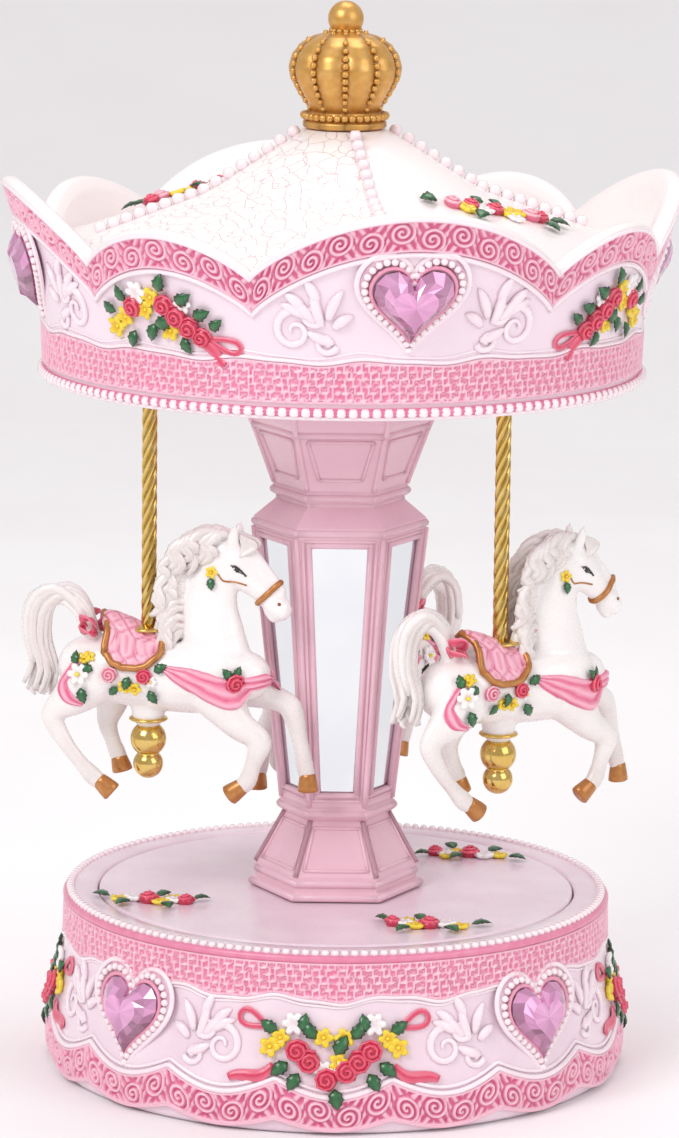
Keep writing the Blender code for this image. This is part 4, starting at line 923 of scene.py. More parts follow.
def roofSpray():
    # a spray that lies down one panel of the roof
    rows = [("l", -16, 9.5, 2.6, 165), ("p", -11.2, 7.8, 2.1, 0), ("y", -8.6, 4.6, 2.4, 0),
            ("l", -6.4, 1.4, 2.4, 210), ("r", -5.2, 5.8, 1.9, 0), ("w", -3.4, 2.8, 2.3, 0),
            ("r", 0.2, 1.8, 2.0, 0), ("y", 2.6, -0.4, 2.5, 0), ("y", 6.2, -1.4, 2.4, 0),
            ("w", 1.8, -3.4, 2.1, 0), ("p", 8.8, -4.6, 2.2, 0), ("r", 11, -6.2, 2.0, 0),
            ("l", -1.6, 5.2, 2.1, 60), ("l", 12, -8.4, 2.4, 300), ("l", 8, -8.6, 2.2, 250),
            ("l", 4, 2.4, 2.0, 60)]
    return bunch(rows)


makeCanopy()
print("canopy made")

base = {"top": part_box("base_shell")[1].z / mm, "beadRadius": 70.4, "beads": 178, "laceLow": 34.6,
        "laceHigh": 43.6, "scallops": 16, "wave": 4.4, "bandLow": 2.6, "bandHigh": 10.4, "stoneUp": 23.7,
        "stoneTilt": 14.0, "stoneRadius": 72.9, "disc": 62.8, "lowWave": 2.9, "bandDrop": 1.2,
        "laceRound": 450, "laceSeed": 29, "leavesAside": 22.0, "leavesUp": 24.5}
baseLine = np.array([[74.3, 0.0], [75.3, 0.9], [75.5, 2.5], [76.0, 5.0], [76.1, 10.0], [75.3, 14.0],
                     [74.3, 18.0], [73.1, 24.0], [72.2, 30.0], [71.7, 36.0], [71.5, 43.0], [71.2, 45.0],
                     [70.2, 46.0]])


def baseRadius(height):
    # the wall's radius between the heights of its outline
    return np.interp(height, baseLine[:, 1], baseLine[:, 0])


def footWave(bearing):
    # pointed arches: an absolute sine has a cusp between its humps, here at the low side of each scallop
    return np.abs(np.sin(np.radians(bearing) * base["scallops"] / 2 + np.pi / 2))


def makeBase():
    # the cast wall and the disc, the lace band, the scroll band, then leaves, stones and garlands
    top = base["top"]
    fine = np.linspace(0, 45, 60)
    wall = [(baseRadius(z), z) for z in fine]
    section = wall + [(70.8, top - 0.3), (70.0, top), (64.2, top), (63.4, top - 0.5), (63.2, top - 1.4),
                      (63.2, top - 3.4), (7.0, top - 3.4), (6.4, top - 4.0), (6.4, top - 6.4),
                      (66.0, top - 6.6), (68.6, 12.0), (70.5, 0.6), (71.5, 0.0)]
    turn = np.linspace(0, 360, 360, endpoint=False)[None]
    section = np.array(section)
    shell = grid(bearingPoints(section[:, :1] + 0 * turn, turn, section[:, 1:] + 0 * turn), around=True,
                 along=True, tint=0.5)
    addPiece("baseBody", [(shell, pearlResin)], "base", replaces=["base_shell"])
    line = np.linspace(0, 1, 40)
    disc = lathe([(6.0, top - 3.2), (base["disc"], top - 3.2), (base["disc"], top - 0.5),
                  (base["disc"] - 0.3, top - 0.15),
                  (base["disc"] - 0.9, top)] + [(base["disc"] - 1 - (base["disc"] - 4) * s, top)
                                                for s in line], 256)
    addPiece("turningDisc", [(disc, pearlResin)], "carousel", replaces=["turntable"])

    def lace(bearing, share, height):
        around = np.broadcast_to(bearing / 360 * base["laceRound"], height.shape)
        return borders(share, laceRelief(around, height, base["laceRound"], base["laceSeed"]), 0.05)

    def lowLine(bearing):
        turned = np.radians(bearing)
        return base["laceLow"] - 0.9 * np.cos(turned * 16) - 0.25 * np.sin(turned * 37)

    def threadLine(bearing):
        return lowLine(bearing) - 1.5 + 0.2 * np.sin(np.radians(bearing) * 16)

    band = ringBand(baseRadius, lowLine, level(base["laceHigh"]), lace, 28, 0.85, 0.55, lacePaint)
    lines = [wavyLine(moved(lowLine, -0.5), baseRadius, 0.3, 0.6, pearlRelief),
             wavyLine(threadLine, baseRadius, 0.05, 0.4, pearlRelief)]
    turn = np.linspace(0, 360, base["beads"], endpoint=False)
    beads = repeated(pearl, bearingPoints(base["beadRadius"], turn, top - 0.1), 1.16)
    collar = wavyLine(level(top - 1.4), baseRadius, 0.1, 1.1, roseGlaze, tint=0.25)
    addPiece("baseLaceBand", [band] + lines + [(beads, beadPearl), collar], "base")

    def highLine(bearing):
        return base["bandHigh"] + base["wave"] * (1 - footWave(bearing)) - base["bandDrop"]

    def footLine(bearing):
        return base["bandLow"] + base["lowWave"] * (1 - footWave(bearing)) - base["bandDrop"]

    def scroll(bearing, share, height):
        cells = bearing / 22.5 * 4
        return borders(share, scrollRelief(cells * 7.4 + 0 * share, (share - 0.5) * 7.6, 7.4), 0.07)

    band = ringBand(baseRadius, footLine, highLine, scroll, 30, 1.15, 0.9, roseGlaze)
    lines = [wavyLine(moved(highLine, 0.7), baseRadius, 0.45, 0.75, pearlRelief),
             wavyLine(moved(highLine, 2.2), baseRadius, 0.1, 0.55, pearlRelief),
             wavyLine(moved(footLine, -0.2), baseRadius, 0.7, 0.55, roseGlaze)]
    addPiece("baseScrollBand", [band] + lines, "base")

    surface = turnedSurface(baseRadius)
    decor = []
    for number in range(4):
        bearing = 45 + 90 * number
        for side in (-1, 1):
            shape, groups, tint = acanthus(side, 1.15)
            leaves = (shape + [side * base["leavesAside"], 0, 0], groups, tint)
            decor += laidParts([(leaves, pearlRelief)], surface, bearing, base["leavesUp"])
        setting = stoneSetting(stone["width"], stone["height"])
        decor += placedOn(setting, bearing, base["stoneRadius"] + 0.5, base["stoneUp"],
                          base["stoneTilt"] * 0.6)
        cut = placedOn([(stoneShape(stone["width"], stone["height"]), gemPaint)], bearing,
                       base["stoneRadius"] + 0.4, base["stoneUp"], base["stoneTilt"] * 0.6)
        owner = nearest("base_gem_", cut[0][0][0].mean(0))
        addPiece(f"baseStone{number + 1}", cut, "base", replaces=[owner],
                 facetShade=paintedFacetLight(cut[0][0], np.array([0, 0, 1.0])))
    addPiece("baseRelief", decor, "base")
    flowers = []
    for number in range(4):
        flowers += laidParts(baseGarland(), surface, 90 * number, 22.5)
    addPiece("baseFlowers", flowers, "base")

    def discFlat(up):
        return -up, top + 0 * up, 0 * up, 0 * up + 1

    flowers = []
    for bearing, radius, turn, side in ((-66, 53, 62, 1), (28, 50, -40, -1), (134, 50, 40, 1)):
        flowers += laidParts(spun(discSpray(side), turn), discFlat, bearing, -radius)
    addPiece("discFlowers", flowers, "carousel")


def spun(parts, degrees):
    # a turn in the flat of the pattern: across and up mixed by the sine and cosine of the angle
    c, s = np.cos(np.radians(degrees)), np.sin(np.radians(degrees))
    turn = np.array([[c, s, 0], [-s, c, 0], [0, 0, 1]])
    return [((shape[0] @ turn, shape[1], shape[2]), finish) for shape, finish in parts]


def baseGarland():
    # a hanging garland: the left half is mirrored to the right, with a cluster of roses below the middle
    half = [("y", -16.2, -0.6, 2.4, 0), ("y", -13.6, 1.8, 2.2, 0), ("w", -10.2, 5.6, 2.7, 0),
            ("l", -14.4, 3.4, 2.2, 150), ("r", -9.2, -1.4, 2.5, 0), ("r", -6.0, -4.0, 2.5, 60),
            ("l", -11.4, -4.2, 2.3, 220), ("l", -4.8, 1.8, 2.3, 120), ("y", -2.6, 2.2, 2.3, 0),
            ("l", -8.0, 3.6, 2.1, 80), ("l", -8.6, -6.8, 2.2, 240), ("w", -2.6, -6.0, 2.3, 0)]
    middle = [("r", -1.8, -8.4, 2.4, 0), ("l", 0.4, -2.0, 2.5, 60), ("l", 0.2, -10.4, 2.3, 280),
              ("y", 1.2, -3.8, 2.2, 0), ("r", 3.2, -6.4, 2.4, 30)]
    ends = [(ribbonLoop(-16.5, 4.2, 8.4, 160, 3.0), ribbonPaint),
            (ribbonTail(-15.0, -5.0, 12.0, 205, 1.2), ribbonPaint)]
    parts = bunch(half) + ends
    return parts + mirrored(parts, -1) + bunch(middle)


def discSpray(side):
    # a short row of flowers that lies flat on the disc
    rows = [("l", -11, 1.8, 2.2, 170), ("y", -8.4, 0.6, 2.1, 0), ("w", -4.6, 2.2, 2.5, 0),
            ("l", -5.4, -1.6, 2.2, 230), ("r", -0.6, 0.8, 2.3, 0), ("y", 2.6, -1.0, 2.3, 0),
            ("l", 1.4, 3.6, 2.3, 60), ("w", 6.4, 1.0, 2.3, 0), ("r", 9.4, -0.4, 2.0, 0),
            ("l", 11.0, 1.2, 2.2, 10), ("l", 4.2, -3.8, 2.2, 280), ("y", 5.8, 4.0, 1.9, 0)]
    return mirrored(bunch(rows), side)


makeBase()
print("base made")

columnLook = {"foot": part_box("column")[0].z / mm, "moulding": 0.75}
columnLine = np.array([[22.6, 0], [22.6, 2], [21.3, 2.4], [21.3, 6.3], [13.8, 19.9], [15.4, 21],
                       [15.4, 23.2], [14.6, 24], [22.6, 96.7], [22.6, 99.4], [16.3, 104.7], [17.8, 105.5],
                       [17.8, 107.7], [17.4, 108.5], [22.9, 123.5], [24, 126], [25.4, 138.7]])


def hexRing(radius, height, count=6):
    # six corners, 60 degrees apart, at one height of the column
    turn = np.radians(np.arange(count) * 60.0)
    return np.stack([radius * np.cos(turn), radius * np.sin(turn),
                     np.full(count, height + columnLook["foot"])], -1)


def bar(start, end, thick):
    # a straight rod from one corner to the next
    return tube(np.linspace(start, end, 5), thick, sides=8, up=(0.13, 0.07, 0.9), tint=0.7)


def makeColumn():
    # rounded arrises up every corner, rolled edges on each ledge, and a moulded frame round every mirror
    shapes = []
    rows = np.array([hexRing(radius, height) for radius, height in columnLine])
    for low, high in ((4, 4), (7, 8), (13, 14), (14, 16), (3, 4)):
        for corner in range(6):
            path = rows[low:high + 1, corner] if high > low else rows[low - 1:high + 1, corner]
            step = np.linspace(0, len(path) - 1, 12)
            path = np.stack([np.interp(step, np.arange(len(path)), path[:, axis]) for axis in range(3)], -1)
            shapes.append(tube(path, 0.75, sides=8, up=(0.1, 0.2, 0.0) + path[0] * [1, 1, 0], tint=0.7))
    for radius, height in ((22.6, 1.0), (21.2, 4.4), (15.3, 22.1), (22.6, 98.0), (17.8, 106.6),
                           (22.9, 123.8), (16.2, 104.6)):
        corners = hexRing(radius - 0.25, height)
        shapes += [bar(corners[i], corners[(i + 1) % 6], 1.05) for i in range(6)]
        shapes.append(repeated(ball(4, 8, 0.7), corners, 1.05))
    for side in range(6):
        axis = np.radians(30 + 60 * side)
        out = np.array([np.cos(axis), np.sin(axis), 0])
        across = np.array([-np.sin(axis), np.cos(axis), 0])

        def at(u, height, proud):
            # a place on one side of the column, at its own distance from the axis for this height
            radius = np.interp(height, columnLine[7:9, 1], columnLine[7:9, 0]) * np.cos(np.pi / 6)
            return out * (radius + proud) + across * u + [0, 0, height + columnLook["foot"]]

        for lowHalf, highHalf, low, high, proud, thick in ((5.0, 8.0, 27.2, 94.9, 0.1, 0.8),
                                                            (6.4, 9.6, 25.6, 96.0, 0.0, 0.5)):
            corners = [at(-lowHalf, low, proud), at(lowHalf, low, proud), at(highHalf, high, proud),
                       at(-highHalf, high, proud)]
            shapes += [bar(corners[i], corners[(i + 1) % 4], thick) for i in range(4)]
            shapes.append(repeated(ball(4, 8, 0.7), np.array(corners), thick))
        flare = []
        for u, height in ((-5.6, 111.5), (5.6, 111.5), (8.6, 122.0), (-8.6, 122.0)):
            radius = np.interp(height, columnLine[13:15, 1], columnLine[13:15, 0]) * np.cos(np.pi / 6)
            flare.append(out * radius + across * u + [0, 0, height + columnLook["foot"]])
        shapes += [bar(flare[i], flare[(i + 1) % 4], 0.55) for i in range(4)]
        skirt = []
        for u, height in ((-8.4, 7.8), (8.4, 7.8), (6.0, 18.2), (-6.0, 18.2)):
            radius = np.interp(height, columnLine[3:5, 1], columnLine[3:5, 0]) * np.cos(np.pi / 6)
            skirt.append(out * radius + across * u + [0, 0, height + columnLook["foot"]])
        shapes += [bar(skirt[i], skirt[(i + 1) % 4], 0.5) for i in range(4)]
    addPiece("columnMouldings", [(joined(*shapes), dustyResin)], "carousel")


poleLook = {"radius": 2.0, "strands": 6, "turnHeight": 24.0, "groove": 0.38}


def twistedRod(x, y, low, high):
    # a bar with five lobes, its section turning steadily as it climbs
    height = np.linspace(low, high, 220)[:, None]
    turn = np.linspace(0, 2 * np.pi, 40, endpoint=False)[None]
    phase = poleLook["strands"] * (turn - 2 * np.pi * (height - low) / poleLook["turnHeight"])
    lobe = np.abs(np.cos(phase / 2)) ** 0.7
    radius = poleLook["radius"] - poleLook["groove"] * (1 - lobe) * 1.6
    points = np.stack([x + radius * np.cos(turn), y + radius * np.sin(turn), height + 0 * turn], -1)
    return grid(points, around=True, start=True, end=True, tint=lobe ** 2)


def shifted(shape, x, y):
    # the same shape moved across and back
    return shape[0] + [x, y, 0], shape[1], shape[2]


def makePoles():
    # each pole, washer and ball end stands where the box of its own CAD node is
    for number in (1, 2, 3):
        low, high = [np.array(corner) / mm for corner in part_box(f"pole_{number}")]
        x, y = (low[:2] + high[:2]) / 2
        body = f"rider_{number}"
        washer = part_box(f"saddle_washer_{number}")[0].z / mm
        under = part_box(f"belly_washer_{number}")[0].z / mm
        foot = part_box(f"pole_finial_{number}")[0].z / mm
        addPiece(f"twistedPole{number}", [(twistedRod(x, y, foot + 14, high[2]), brass)], body,
                 replaces=[f"pole_{number}"])
        for name, node, height, wide in (("saddleWasher", "saddle_washer", washer, 5.1),
                                         ("bellyWasher", "belly_washer", under, 5.1)):
            ring = lathe([(2.3, height), (wide - 0.3, height), (wide, height + 0.3),
                          (wide - 0.2, height + 0.7), (3.4, height + 1.0),
                          (2.2, height + 1.6)], 48, tint=0.9)
            addPiece(f"{name}{number}", [(shifted(ring, x, y), brass)], body,
                     replaces=[f"{node}_{number}"])
        fall = np.linspace(0, np.pi, 22)
        lower = np.stack([3.9 * np.sin(fall[:16]), foot + 3.9 - 3.9 * np.cos(fall[:16])], -1)
        upper = np.stack([4.7 * np.sin(fall[4:20]), foot + 3.9 + 6.6 - 4.7 * np.cos(fall[4:20])], -1)
        neck = np.array([[1.7, foot + 15.0], [2.1, foot + 15.3]])
        ends = lathe(np.concatenate([lower, upper, neck]), 48, tint=0.85)
        addPiece(f"ballEnd{number}", [(shifted(ends, x, y), brass)], body,
                 replaces=[f"pole_finial_{number}"])


crownLook = {"foot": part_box("crown")[0].z / mm, "lobes": 10}


def makeCrown():
    # a lobed bulb: the radius swells between ten bead rows, on a beaded collar, with a ball at the top
    low = crownLook["foot"]
    line = np.array([[10.2, 0.0], [10.9, 0.4], [10.9, 1.6], [10.2, 2.2], [9.0, 4.2], [10.2, 6.0],
                     [12.6, 9.6], [14.3, 13.0], [14.7, 15.6], [13.9, 18.8], [11.6, 21.8], [8.2, 23.8],
                     [4.8, 24.6], [3.4, 25.0]])
    step = np.linspace(0, len(line) - 1, 64)
    radius = np.interp(step, np.arange(len(line)), line[:, 0])[:, None]
    height = np.interp(step, np.arange(len(line)), line[:, 1])[:, None]
    turn = np.linspace(0, 2 * np.pi, 240, endpoint=False)[None]
    swell = np.abs(np.sin(turn * crownLook["lobes"] / 2)) ** 0.6
    depth = 0.1 * np.clip((height - 4.2) / 4, 0, 1) * np.clip((25.2 - height) / 3, 0, 1)
    wide = radius * (1 - depth * (1 - swell))
    points = np.stack([wide * np.sin(turn), -wide * np.cos(turn), height + low + 0 * turn], -1)
    bulb = grid(points, around=True, start=True, end=True, tint=0.25 + 0.7 * swell * np.ones_like(height))
    fall = np.linspace(0.35, np.pi - 0.05, 16)
    top = lathe(np.stack([4.64 * np.sin(fall), low + 28.1 - 4.64 * np.cos(fall)], -1), 48, tint=0.9)
    rib = np.linspace(0, 1, 11)
    up = 5.4 + 19.0 * rib
    far = np.interp(up, line[:, 1], line[:, 0]) * 0.965
    beads = []
    for number in range(crownLook["lobes"]):
        beads.append(repeated(ball(4, 8, 0.95), bearingPoints(far, np.full(11, 36.0 * number), up + low),
                              np.interp(rib, [0, 0.5, 1], [0.8, 1.0, 0.7])))
    around = np.arange(34) * 360 / 34
    beads.append(repeated(ball(4, 8, 0.95), bearingPoints(10.6, around, low + 3.2), 1.05))
    around = np.arange(14) * 360 / 14
    beads.append(repeated(ball(4, 8, 0.95), bearingPoints(3.7, around, low + 25.0), 0.8))
    addPiece("crownFinial", [(joined(bulb, top, *beads), goldPaint)], "carousel",
             replaces=["crown"])


makeColumn()
makePoles()
makeCrown()
print("column, poles and crown made")

# horses: forward of the pole, to the left and above the belly, then turned and moved into place

horse = {"headings": (-12.0, 33.0, 220.0), "bellyBelowSeat": 21.2, "voxel": 0.55, "smoothing": 7,
         "maneLocks": 46, "tailLocks": 34}
# each stretch of bone: (forward, left, up, radius) with how much it is squeezed sideways
horseBones = [
    (0.9, [(-16, 0, 10.6, 8.2), (-9, 0, 10.4, 9.2), (-1, 0, 9.6, 9.2), (8, 0, 9.2, 9.5), (16, 0, 9.8, 10.0),
           (22, 0, 10.4, 9.2), (26, 0, 10.2, 6.6)]),
    (0.62, [(19, 0, 12, 9.2), (17.4, 0, 20, 8.4), (16.4, 0, 28, 7.3), (17.6, 0, 35, 6.3), (20, 0, 41, 5.4)]),
    (0.7, [(20.6, 0, 41.6, 4.6), (23.4, 0, 39.4, 5.6), (26.5, 0, 36.8, 4.9), (30, 0, 33.4, 3.6),
           (33.4, 0, 30.2, 3.3)]),
    (0.62, [(21.5, 0, 45, 2.4), (26, 0, 42.9, 2.5), (30.5, 0, 38, 2.2), (34.4, 0, 33, 2.2)]),
    (0.95, [(33.6, 0, 29.6, 3.3), (35.0, 0, 28.2, 3.1)]),
    (0.8, [(32.6, 0, 28.0, 2.2), (33.4, 0, 26.4, 1.9)]),
    (0.5, [(22.6, 2.2, 45.2, 1.8), (23.2, 2.9, 48.2, 1.5), (23.6, 3.1, 50.4, 0.5)]),
    (0.5, [(22.6, -2.2, 45.2, 1.8), (23.2, -2.9, 48.2, 1.5), (23.6, -3.1, 50.4, 0.5)]),
    (0.7, [(18, 0, 44.5, 2.6), (12.5, 0, 41.5, 2.6), (10.5, 0, 34, 2.6), (10.5, 0, 24, 2.6)]),
    (1.0, [(-14.5, 0, 17.5, 2.4), (-18.5, 0, 25.4, 2.2), (-23.6, 0, 28.6, 2.2), (-28, 0, 25.4, 2.3),
           (-29, 0, 17, 2.2), (-27.6, 0, 9, 1.8)]),
    (0.74, [(-14, -3.6, 8.6, 8.0), (-19, -4.8, 3.6, 5.6), (-23.6, -4.9, -0.4, 3.4), (-24.4, -4.8, -3, 2.9),
            (-21.6, -4.6, -8.4, 2.3), (-17.6, -4.5, -13.6, 2.0), (-13.8, -4.4, -17.6, 2.5),
            (-11.5, -4.4, -19.4, 2.1)]),
    (0.74, [(-11, 3.6, 8.0, 7.4), (-11.2, 4.8, 0.5, 4.6), (-12.2, 4.8, -5.0, 2.9), (-11, 4.7, -9.4, 2.2),
            (-9.4, 4.6, -13.4, 2.4), (-8.8, 4.6, -15.0, 2.1)]),
    (0.76, [(18.5, -3.4, 6.4, 7.4), (25, -4.6, -1.4, 4.4), (29.4, -4.8, -4.4, 3.4), (30.8, -4.8, -6.6, 3.2),
            (29.2, -4.7, -12, 2.3), (27.6, -4.6, -16.6, 2.5), (25.4, -4.5, -18.6, 2.1)]),
    (0.76, [(21, 3.4, 7.6, 6.8), (30, 4.6, 4.6, 3.9), (35.6, 4.8, 2.6, 3.1), (37.4, 4.8, 0.2, 3.0),
            (39.4, 4.7, -7, 2.2), (41.0, 4.6, -14.4, 2.4), (41.6, 4.5, -17.4, 2.0)]),
    (1.45, [(-10.2, 0, 22.8, 2.3), (-6, 0, 20.4, 3.2), (0, 0, 17.6, 3.2), (4.6, 0, 17.6, 3.0)]),
    (1.0, [(0, 0, 3.0, 4.6), (0, 0, -1.0, 4.4)])]
hooves = [((-12.4, -4.4, -18.4), (-8.4, -4.4, -21.8)), ((-9.2, 4.6, -13.8), (-8.0, 4.6, -18.0)),
          ((26.8, -4.5, -17.6), (22.6, -4.5, -20.8)), ((41.6, 4.5, -15.6), (41.8, 4.5, -20.6))]


def smoothLine(points, count):
    # a Catmull-Rom curve: the cubic through each pair of points whose slopes come from their neighbours
    points = np.asarray(points, float)
    padded = np.vstack([2 * points[0] - points[1], points, 2 * points[-1] - points[-2]])
    step = np.linspace(0, len(points) - 1 - 1e-9, count)
    first = step.astype(int)
    part = (step - first)[:, None]
    a, b, c, d = (padded[first + shift] for shift in range(4))
    return 0.5 * (2 * b + (c - a) * part + (2 * a - 5 * b + 4 * c - d) * part ** 2
                  + (3 * b - a - 3 * c + d) * part ** 3)


def bone(points, squeeze, sides=20):
    # a limb with hemispheres at its ends: the last radius falls as a cosine while it moves out as a sine
    line = smoothLine(points, 8 * len(points))
    way = unit(line[[0, -1], :3] - line[[1, -2], :3])
    fall = np.radians([25, 48, 68, 82])[:, None]
    first = np.hstack([line[0, :3] + way[0] * line[0, 3] * np.sin(fall), line[0, 3] * np.cos(fall)])[::-1]
    last = np.hstack([line[-1, :3] + way[1] * line[-1, 3] * np.sin(fall), line[-1, 3] * np.cos(fall)])
    whole = np.vstack([first, line, last])
    return tube(whole[:, :3], whole[:, 3], sides=sides, up=(0, 1, 0), flat=squeeze)


def looseObject(name, points, groups=()):
    # a mesh object for the remesh and for the rays, outside the finished pieces
    mesh = bpy.data.meshes.new(name)
    faces = [face for group in groups for face in group.tolist()]
    mesh.from_pydata((points * mm).tolist(), [], faces)
    made = bpy.data.objects.new(name, mesh)
    bpy.context.scene.collection.objects.link(made)
    return made


def evaluatedMesh(made):
    # the points and the corner order of a mesh after its modifiers
    graph = bpy.context.evaluated_depsgraph_get()
    mesh = made.evaluated_get(graph).to_mesh()
    points = np.empty(len(mesh.vertices) * 3, np.float32)
    mesh.vertices.foreach_get("co", points)
    loops = np.empty(len(mesh.loops), np.int32)
    mesh.loops.foreach_get("vertex_index", loops)
    return points.reshape(-1, 3).astype(float) / mm, loops


def fusedBody():
    # the bones joined by a fine voxel skin and then relaxed, so that muscles run into each other
    shapes = joined(*[bone(points, squeeze) for squeeze, points in horseBones])
    made = looseObject("horseForm", shapes[0], shapes[1])
    skin = made.modifiers.new("skin", "REMESH")
    skin.mode = "VOXEL"
    skin.voxel_size = horse["voxel"] * mm
    relax = made.modifiers.new("relax", "SMOOTH")
    relax.factor = 0.6
    relax.iterations = horse["smoothing"]
    points, loops = evaluatedMesh(made)
    bpy.data.objects.remove(made)
    return looseObject("horseSkin", points, [loops.reshape(-1, 4)]), (points, [loops.reshape(-1, 4)])


def snapped(points, target, lift):
    # the nearest places on the skin, raised above it
    flat = np.asarray(points, float).reshape(-1, 3)
    made = looseObject("probe", flat)
    wrap = made.modifiers.new("wrap", "SHRINKWRAP")
    wrap.target = target
    wrap.wrap_mode = "ABOVE_SURFACE"
    wrap.offset = lift * mm
    found, _ = evaluatedMesh(made)
    bpy.data.objects.remove(made)
    return found.reshape(np.shape(points))


def settled(path, target, lift, closed=False):
    # a line drawn on the skin: snapped to it, evened out between its neighbours, and snapped again
    line = snapped(path, target, 0.0)
    for _ in range(6):
        evened = 0.5 * line + 0.25 * (np.roll(line, 1, 0) + np.roll(line, -1, 0))
        line = evened if closed else np.concatenate([line[:1], evened[1:-1], line[-1:]])
    return snapped(line, target, lift)


def skinStrip(line, half, target, lift, folds):
    # a cloth strip on the skin: the line's points spread down and up by half, with folds as ripples across
    # it
    line = smoothLine(line, 34)
    half = np.interp(np.linspace(0, 1, 34), np.linspace(0, 1, len(half)), half)[:, None]
    across = np.linspace(-1, 1, 13)[None]
    way = unit(np.gradient(line[:, :3], axis=0))
    down = unit(np.cross(way, [0, np.sign(line[:, 1].mean()) or 1.0, 0.25]))
    spread = line[:, None, :3] + down[:, None] * (half * across)[..., None]
    base = snapped(spread, target, 0.0)
    out = snapped(spread, target, 1.0) - base
    along = np.linspace(0, 1, 34)[:, None]
    ripple = 0.5 + 0.5 * np.cos(across * np.pi * folds + 1.6 * np.sin(along * 5 + across))
    rise = lift * (0.55 + 0.65 * ripple) * np.clip((1 - np.abs(across)) * 5 + 0.1, 0, 1)
    top = base + out * rise[..., None]
    under = (base - out * 0.6)[:, ::-1]
    ring = np.concatenate([top, under], axis=1)
    # tint follows the folds: painted shade in their hollows, light on their crests, dark underneath
    shade = np.concatenate([ripple, 0 * ripple], axis=1)
    return facingOut(grid(ring, around=True, start=True, end=True, tint=shade))


def facingOut(shape):
    # a closed shape whose volume comes out negative has its faces turned round
    points, groups, tint = shape
    volume = 0.0
    for faces in groups:
        for last in range(2, faces.shape[1]):
            a, b, c = (points[faces[:, k]] for k in (0, last - 1, last))
            volume += np.einsum("ij,ij->i", a, np.cross(b, c)).sum()
    return (points, [faces[:, ::-1] for faces in groups], tint) if volume < 0 else shape


def skinBunch(rows, side, target):
    # flowers and leaves at (kind, forward, up, size, turn), each standing on the skin along its normal
    parts = []
    for kind, (shape, finish) in flowerKinds.items():
        chosen = [row for row in rows if row[0] == kind]
        if not chosen:
            continue
        where = np.array([[row[1], side * 13.0, row[2]] for row in chosen])
        places = snapped(where, target, 0.1)
        out = unit(snapped(where, target, 1.1) - places)
        across = unit(np.cross([0, 0, 1.0], out))
        up = np.cross(out, across)
        angle = np.radians([row[4] for row in chosen])[:, None]
        first = across * np.cos(angle) + up * np.sin(angle)
        axes = np.stack([first, np.cross(out, first), out], 1)
        size = np.array([row[3] for row in chosen])
        parts.append((repeated(shape, places, size, axes), finish))
        if kind in "yw":
            parts.append((repeated(eye, places + out * 0.4 * size[:, None], size * 0.24), yellowPaint))
    return parts


def lock(path, thick, squeeze, shade):
    # a lock of hair: thin at the root, full at its middle and thin again, flattened by squeeze
    line = smoothLine(path, 14)
    step = np.linspace(0, 1, 14)
    wide = thick * (0.35 + 0.65 * np.sin(np.pi * np.clip(step * 0.8 + 0.15, 0, 1)))
    points, groups, _ = tube(line, wide, sides=7, up=(0.1, 1, 0.2), flat=squeeze)
    # tint: light on the strands, painted shade in the grooves between them, all scaled by shade
    tint = np.tile([1.0, 0.35, 0.9, 0.2, 0.95, 0.3, 0.8], 14) * shade
    return points, groups, np.append(tint, [shade, shade * 0.7])


def maneShapes():
    # locks rooted along the crest, thrown back and down in shallow waves, fuller on the outside
    rng = np.random.default_rng(21)
    crest = smoothLine([(23.5, 0, 46.2), (18.5, 0, 47), (13.4, 0, 43.6), (11.2, 0, 36), (10.6, 0, 28),
                        (11.4, 0, 20.5)], horse["maneLocks"])
    shapes = []
    for side in (-1, 1):
        for number, root in enumerate(crest):
            reach = 6.0 + 3.4 * rng.random()
            fall = 3.5 + 5.5 * rng.random() + 2.5 * (number / horse["maneLocks"])
            wave = 1.2 * (rng.random() - 0.3)
            out = side * (1.6 + 2.4 * rng.random())
            path = [root + [0.6, side * 0.3, -0.6], root + [-reach * 0.4, out * 0.75, 0.7 + wave],
                    root + [-reach * 0.85, out * 1.15, -fall * 0.35],
                    root + [-reach * 0.7 + wave, out * 1.2, -fall * 0.8],
                    root + [-reach * 1.02, out * 0.9, -fall * 1.15]]
            shapes.append(lock(path, 1.15 + 0.45 * rng.random(), 0.75, 0.75 + 0.25 * rng.random()))
        for number in range(7):
            root = np.array([22.0 + 0.5 * number, side * 0.7, 46.0])
            shapes.append(lock([root, root + [2.4, side * 1.0, 1.2 - 0.2 * number],
                                root + [3.6, side * 1.6, -1.6],
                                root + [2.8 - number * 0.5, side * 2.4, -4.2]], 0.75, 0.7, 0.9))
    return shapes


def tailShapes():
    # locks along one arching line, each kept a little off it, spreading where the tail ends
    rng = np.random.default_rng(5)
    core = np.array([(-14.5, 0, 18.6), (-18.6, 0, 27.0), (-24, 0, 30.2), (-29, 0, 26.4), (-30, 0, 18),
                     (-27.8, 0, 10), (-29.6, 0, 4.2)])
    spread = np.array([0.8, 2.0, 2.7, 3.0, 3.2, 3.6, 4.2])
    shapes = []
    for number in range(horse["tailLocks"]):
        angle = 2 * np.pi * rng.random()
        swing = angle + np.linspace(0, 1.6, 7) * (rng.random() - 0.3)
        off = np.stack([np.cos(swing) * 1.0, np.sin(swing) * 1.0, 0.4 * np.sin(swing * 2)], -1)
        path = core + off * spread[:, None] * (0.55 + 0.45 * rng.random())
        stop = rng.integers(5, 8)
        shapes.append(lock(path[:stop], 1.2 + 0.45 * rng.random(), 0.8, 0.75 + 0.25 * rng.random()))
    for number in range(12):
        root = np.array([-27.5 - 1.2 * rng.random(), 2.4 * (rng.random() - 0.5), 8.5 + 3 * rng.random()])
        tip = root + [-2.5 + 5 * rng.random(), 2.5 * (rng.random() - 0.5), -6.0]
        shapes.append(lock([root, root + [1.0, 0.4, -2.6], tip + [-0.8, 0, 1.6], tip], 0.9, 0.8, 0.85))
    return shapes


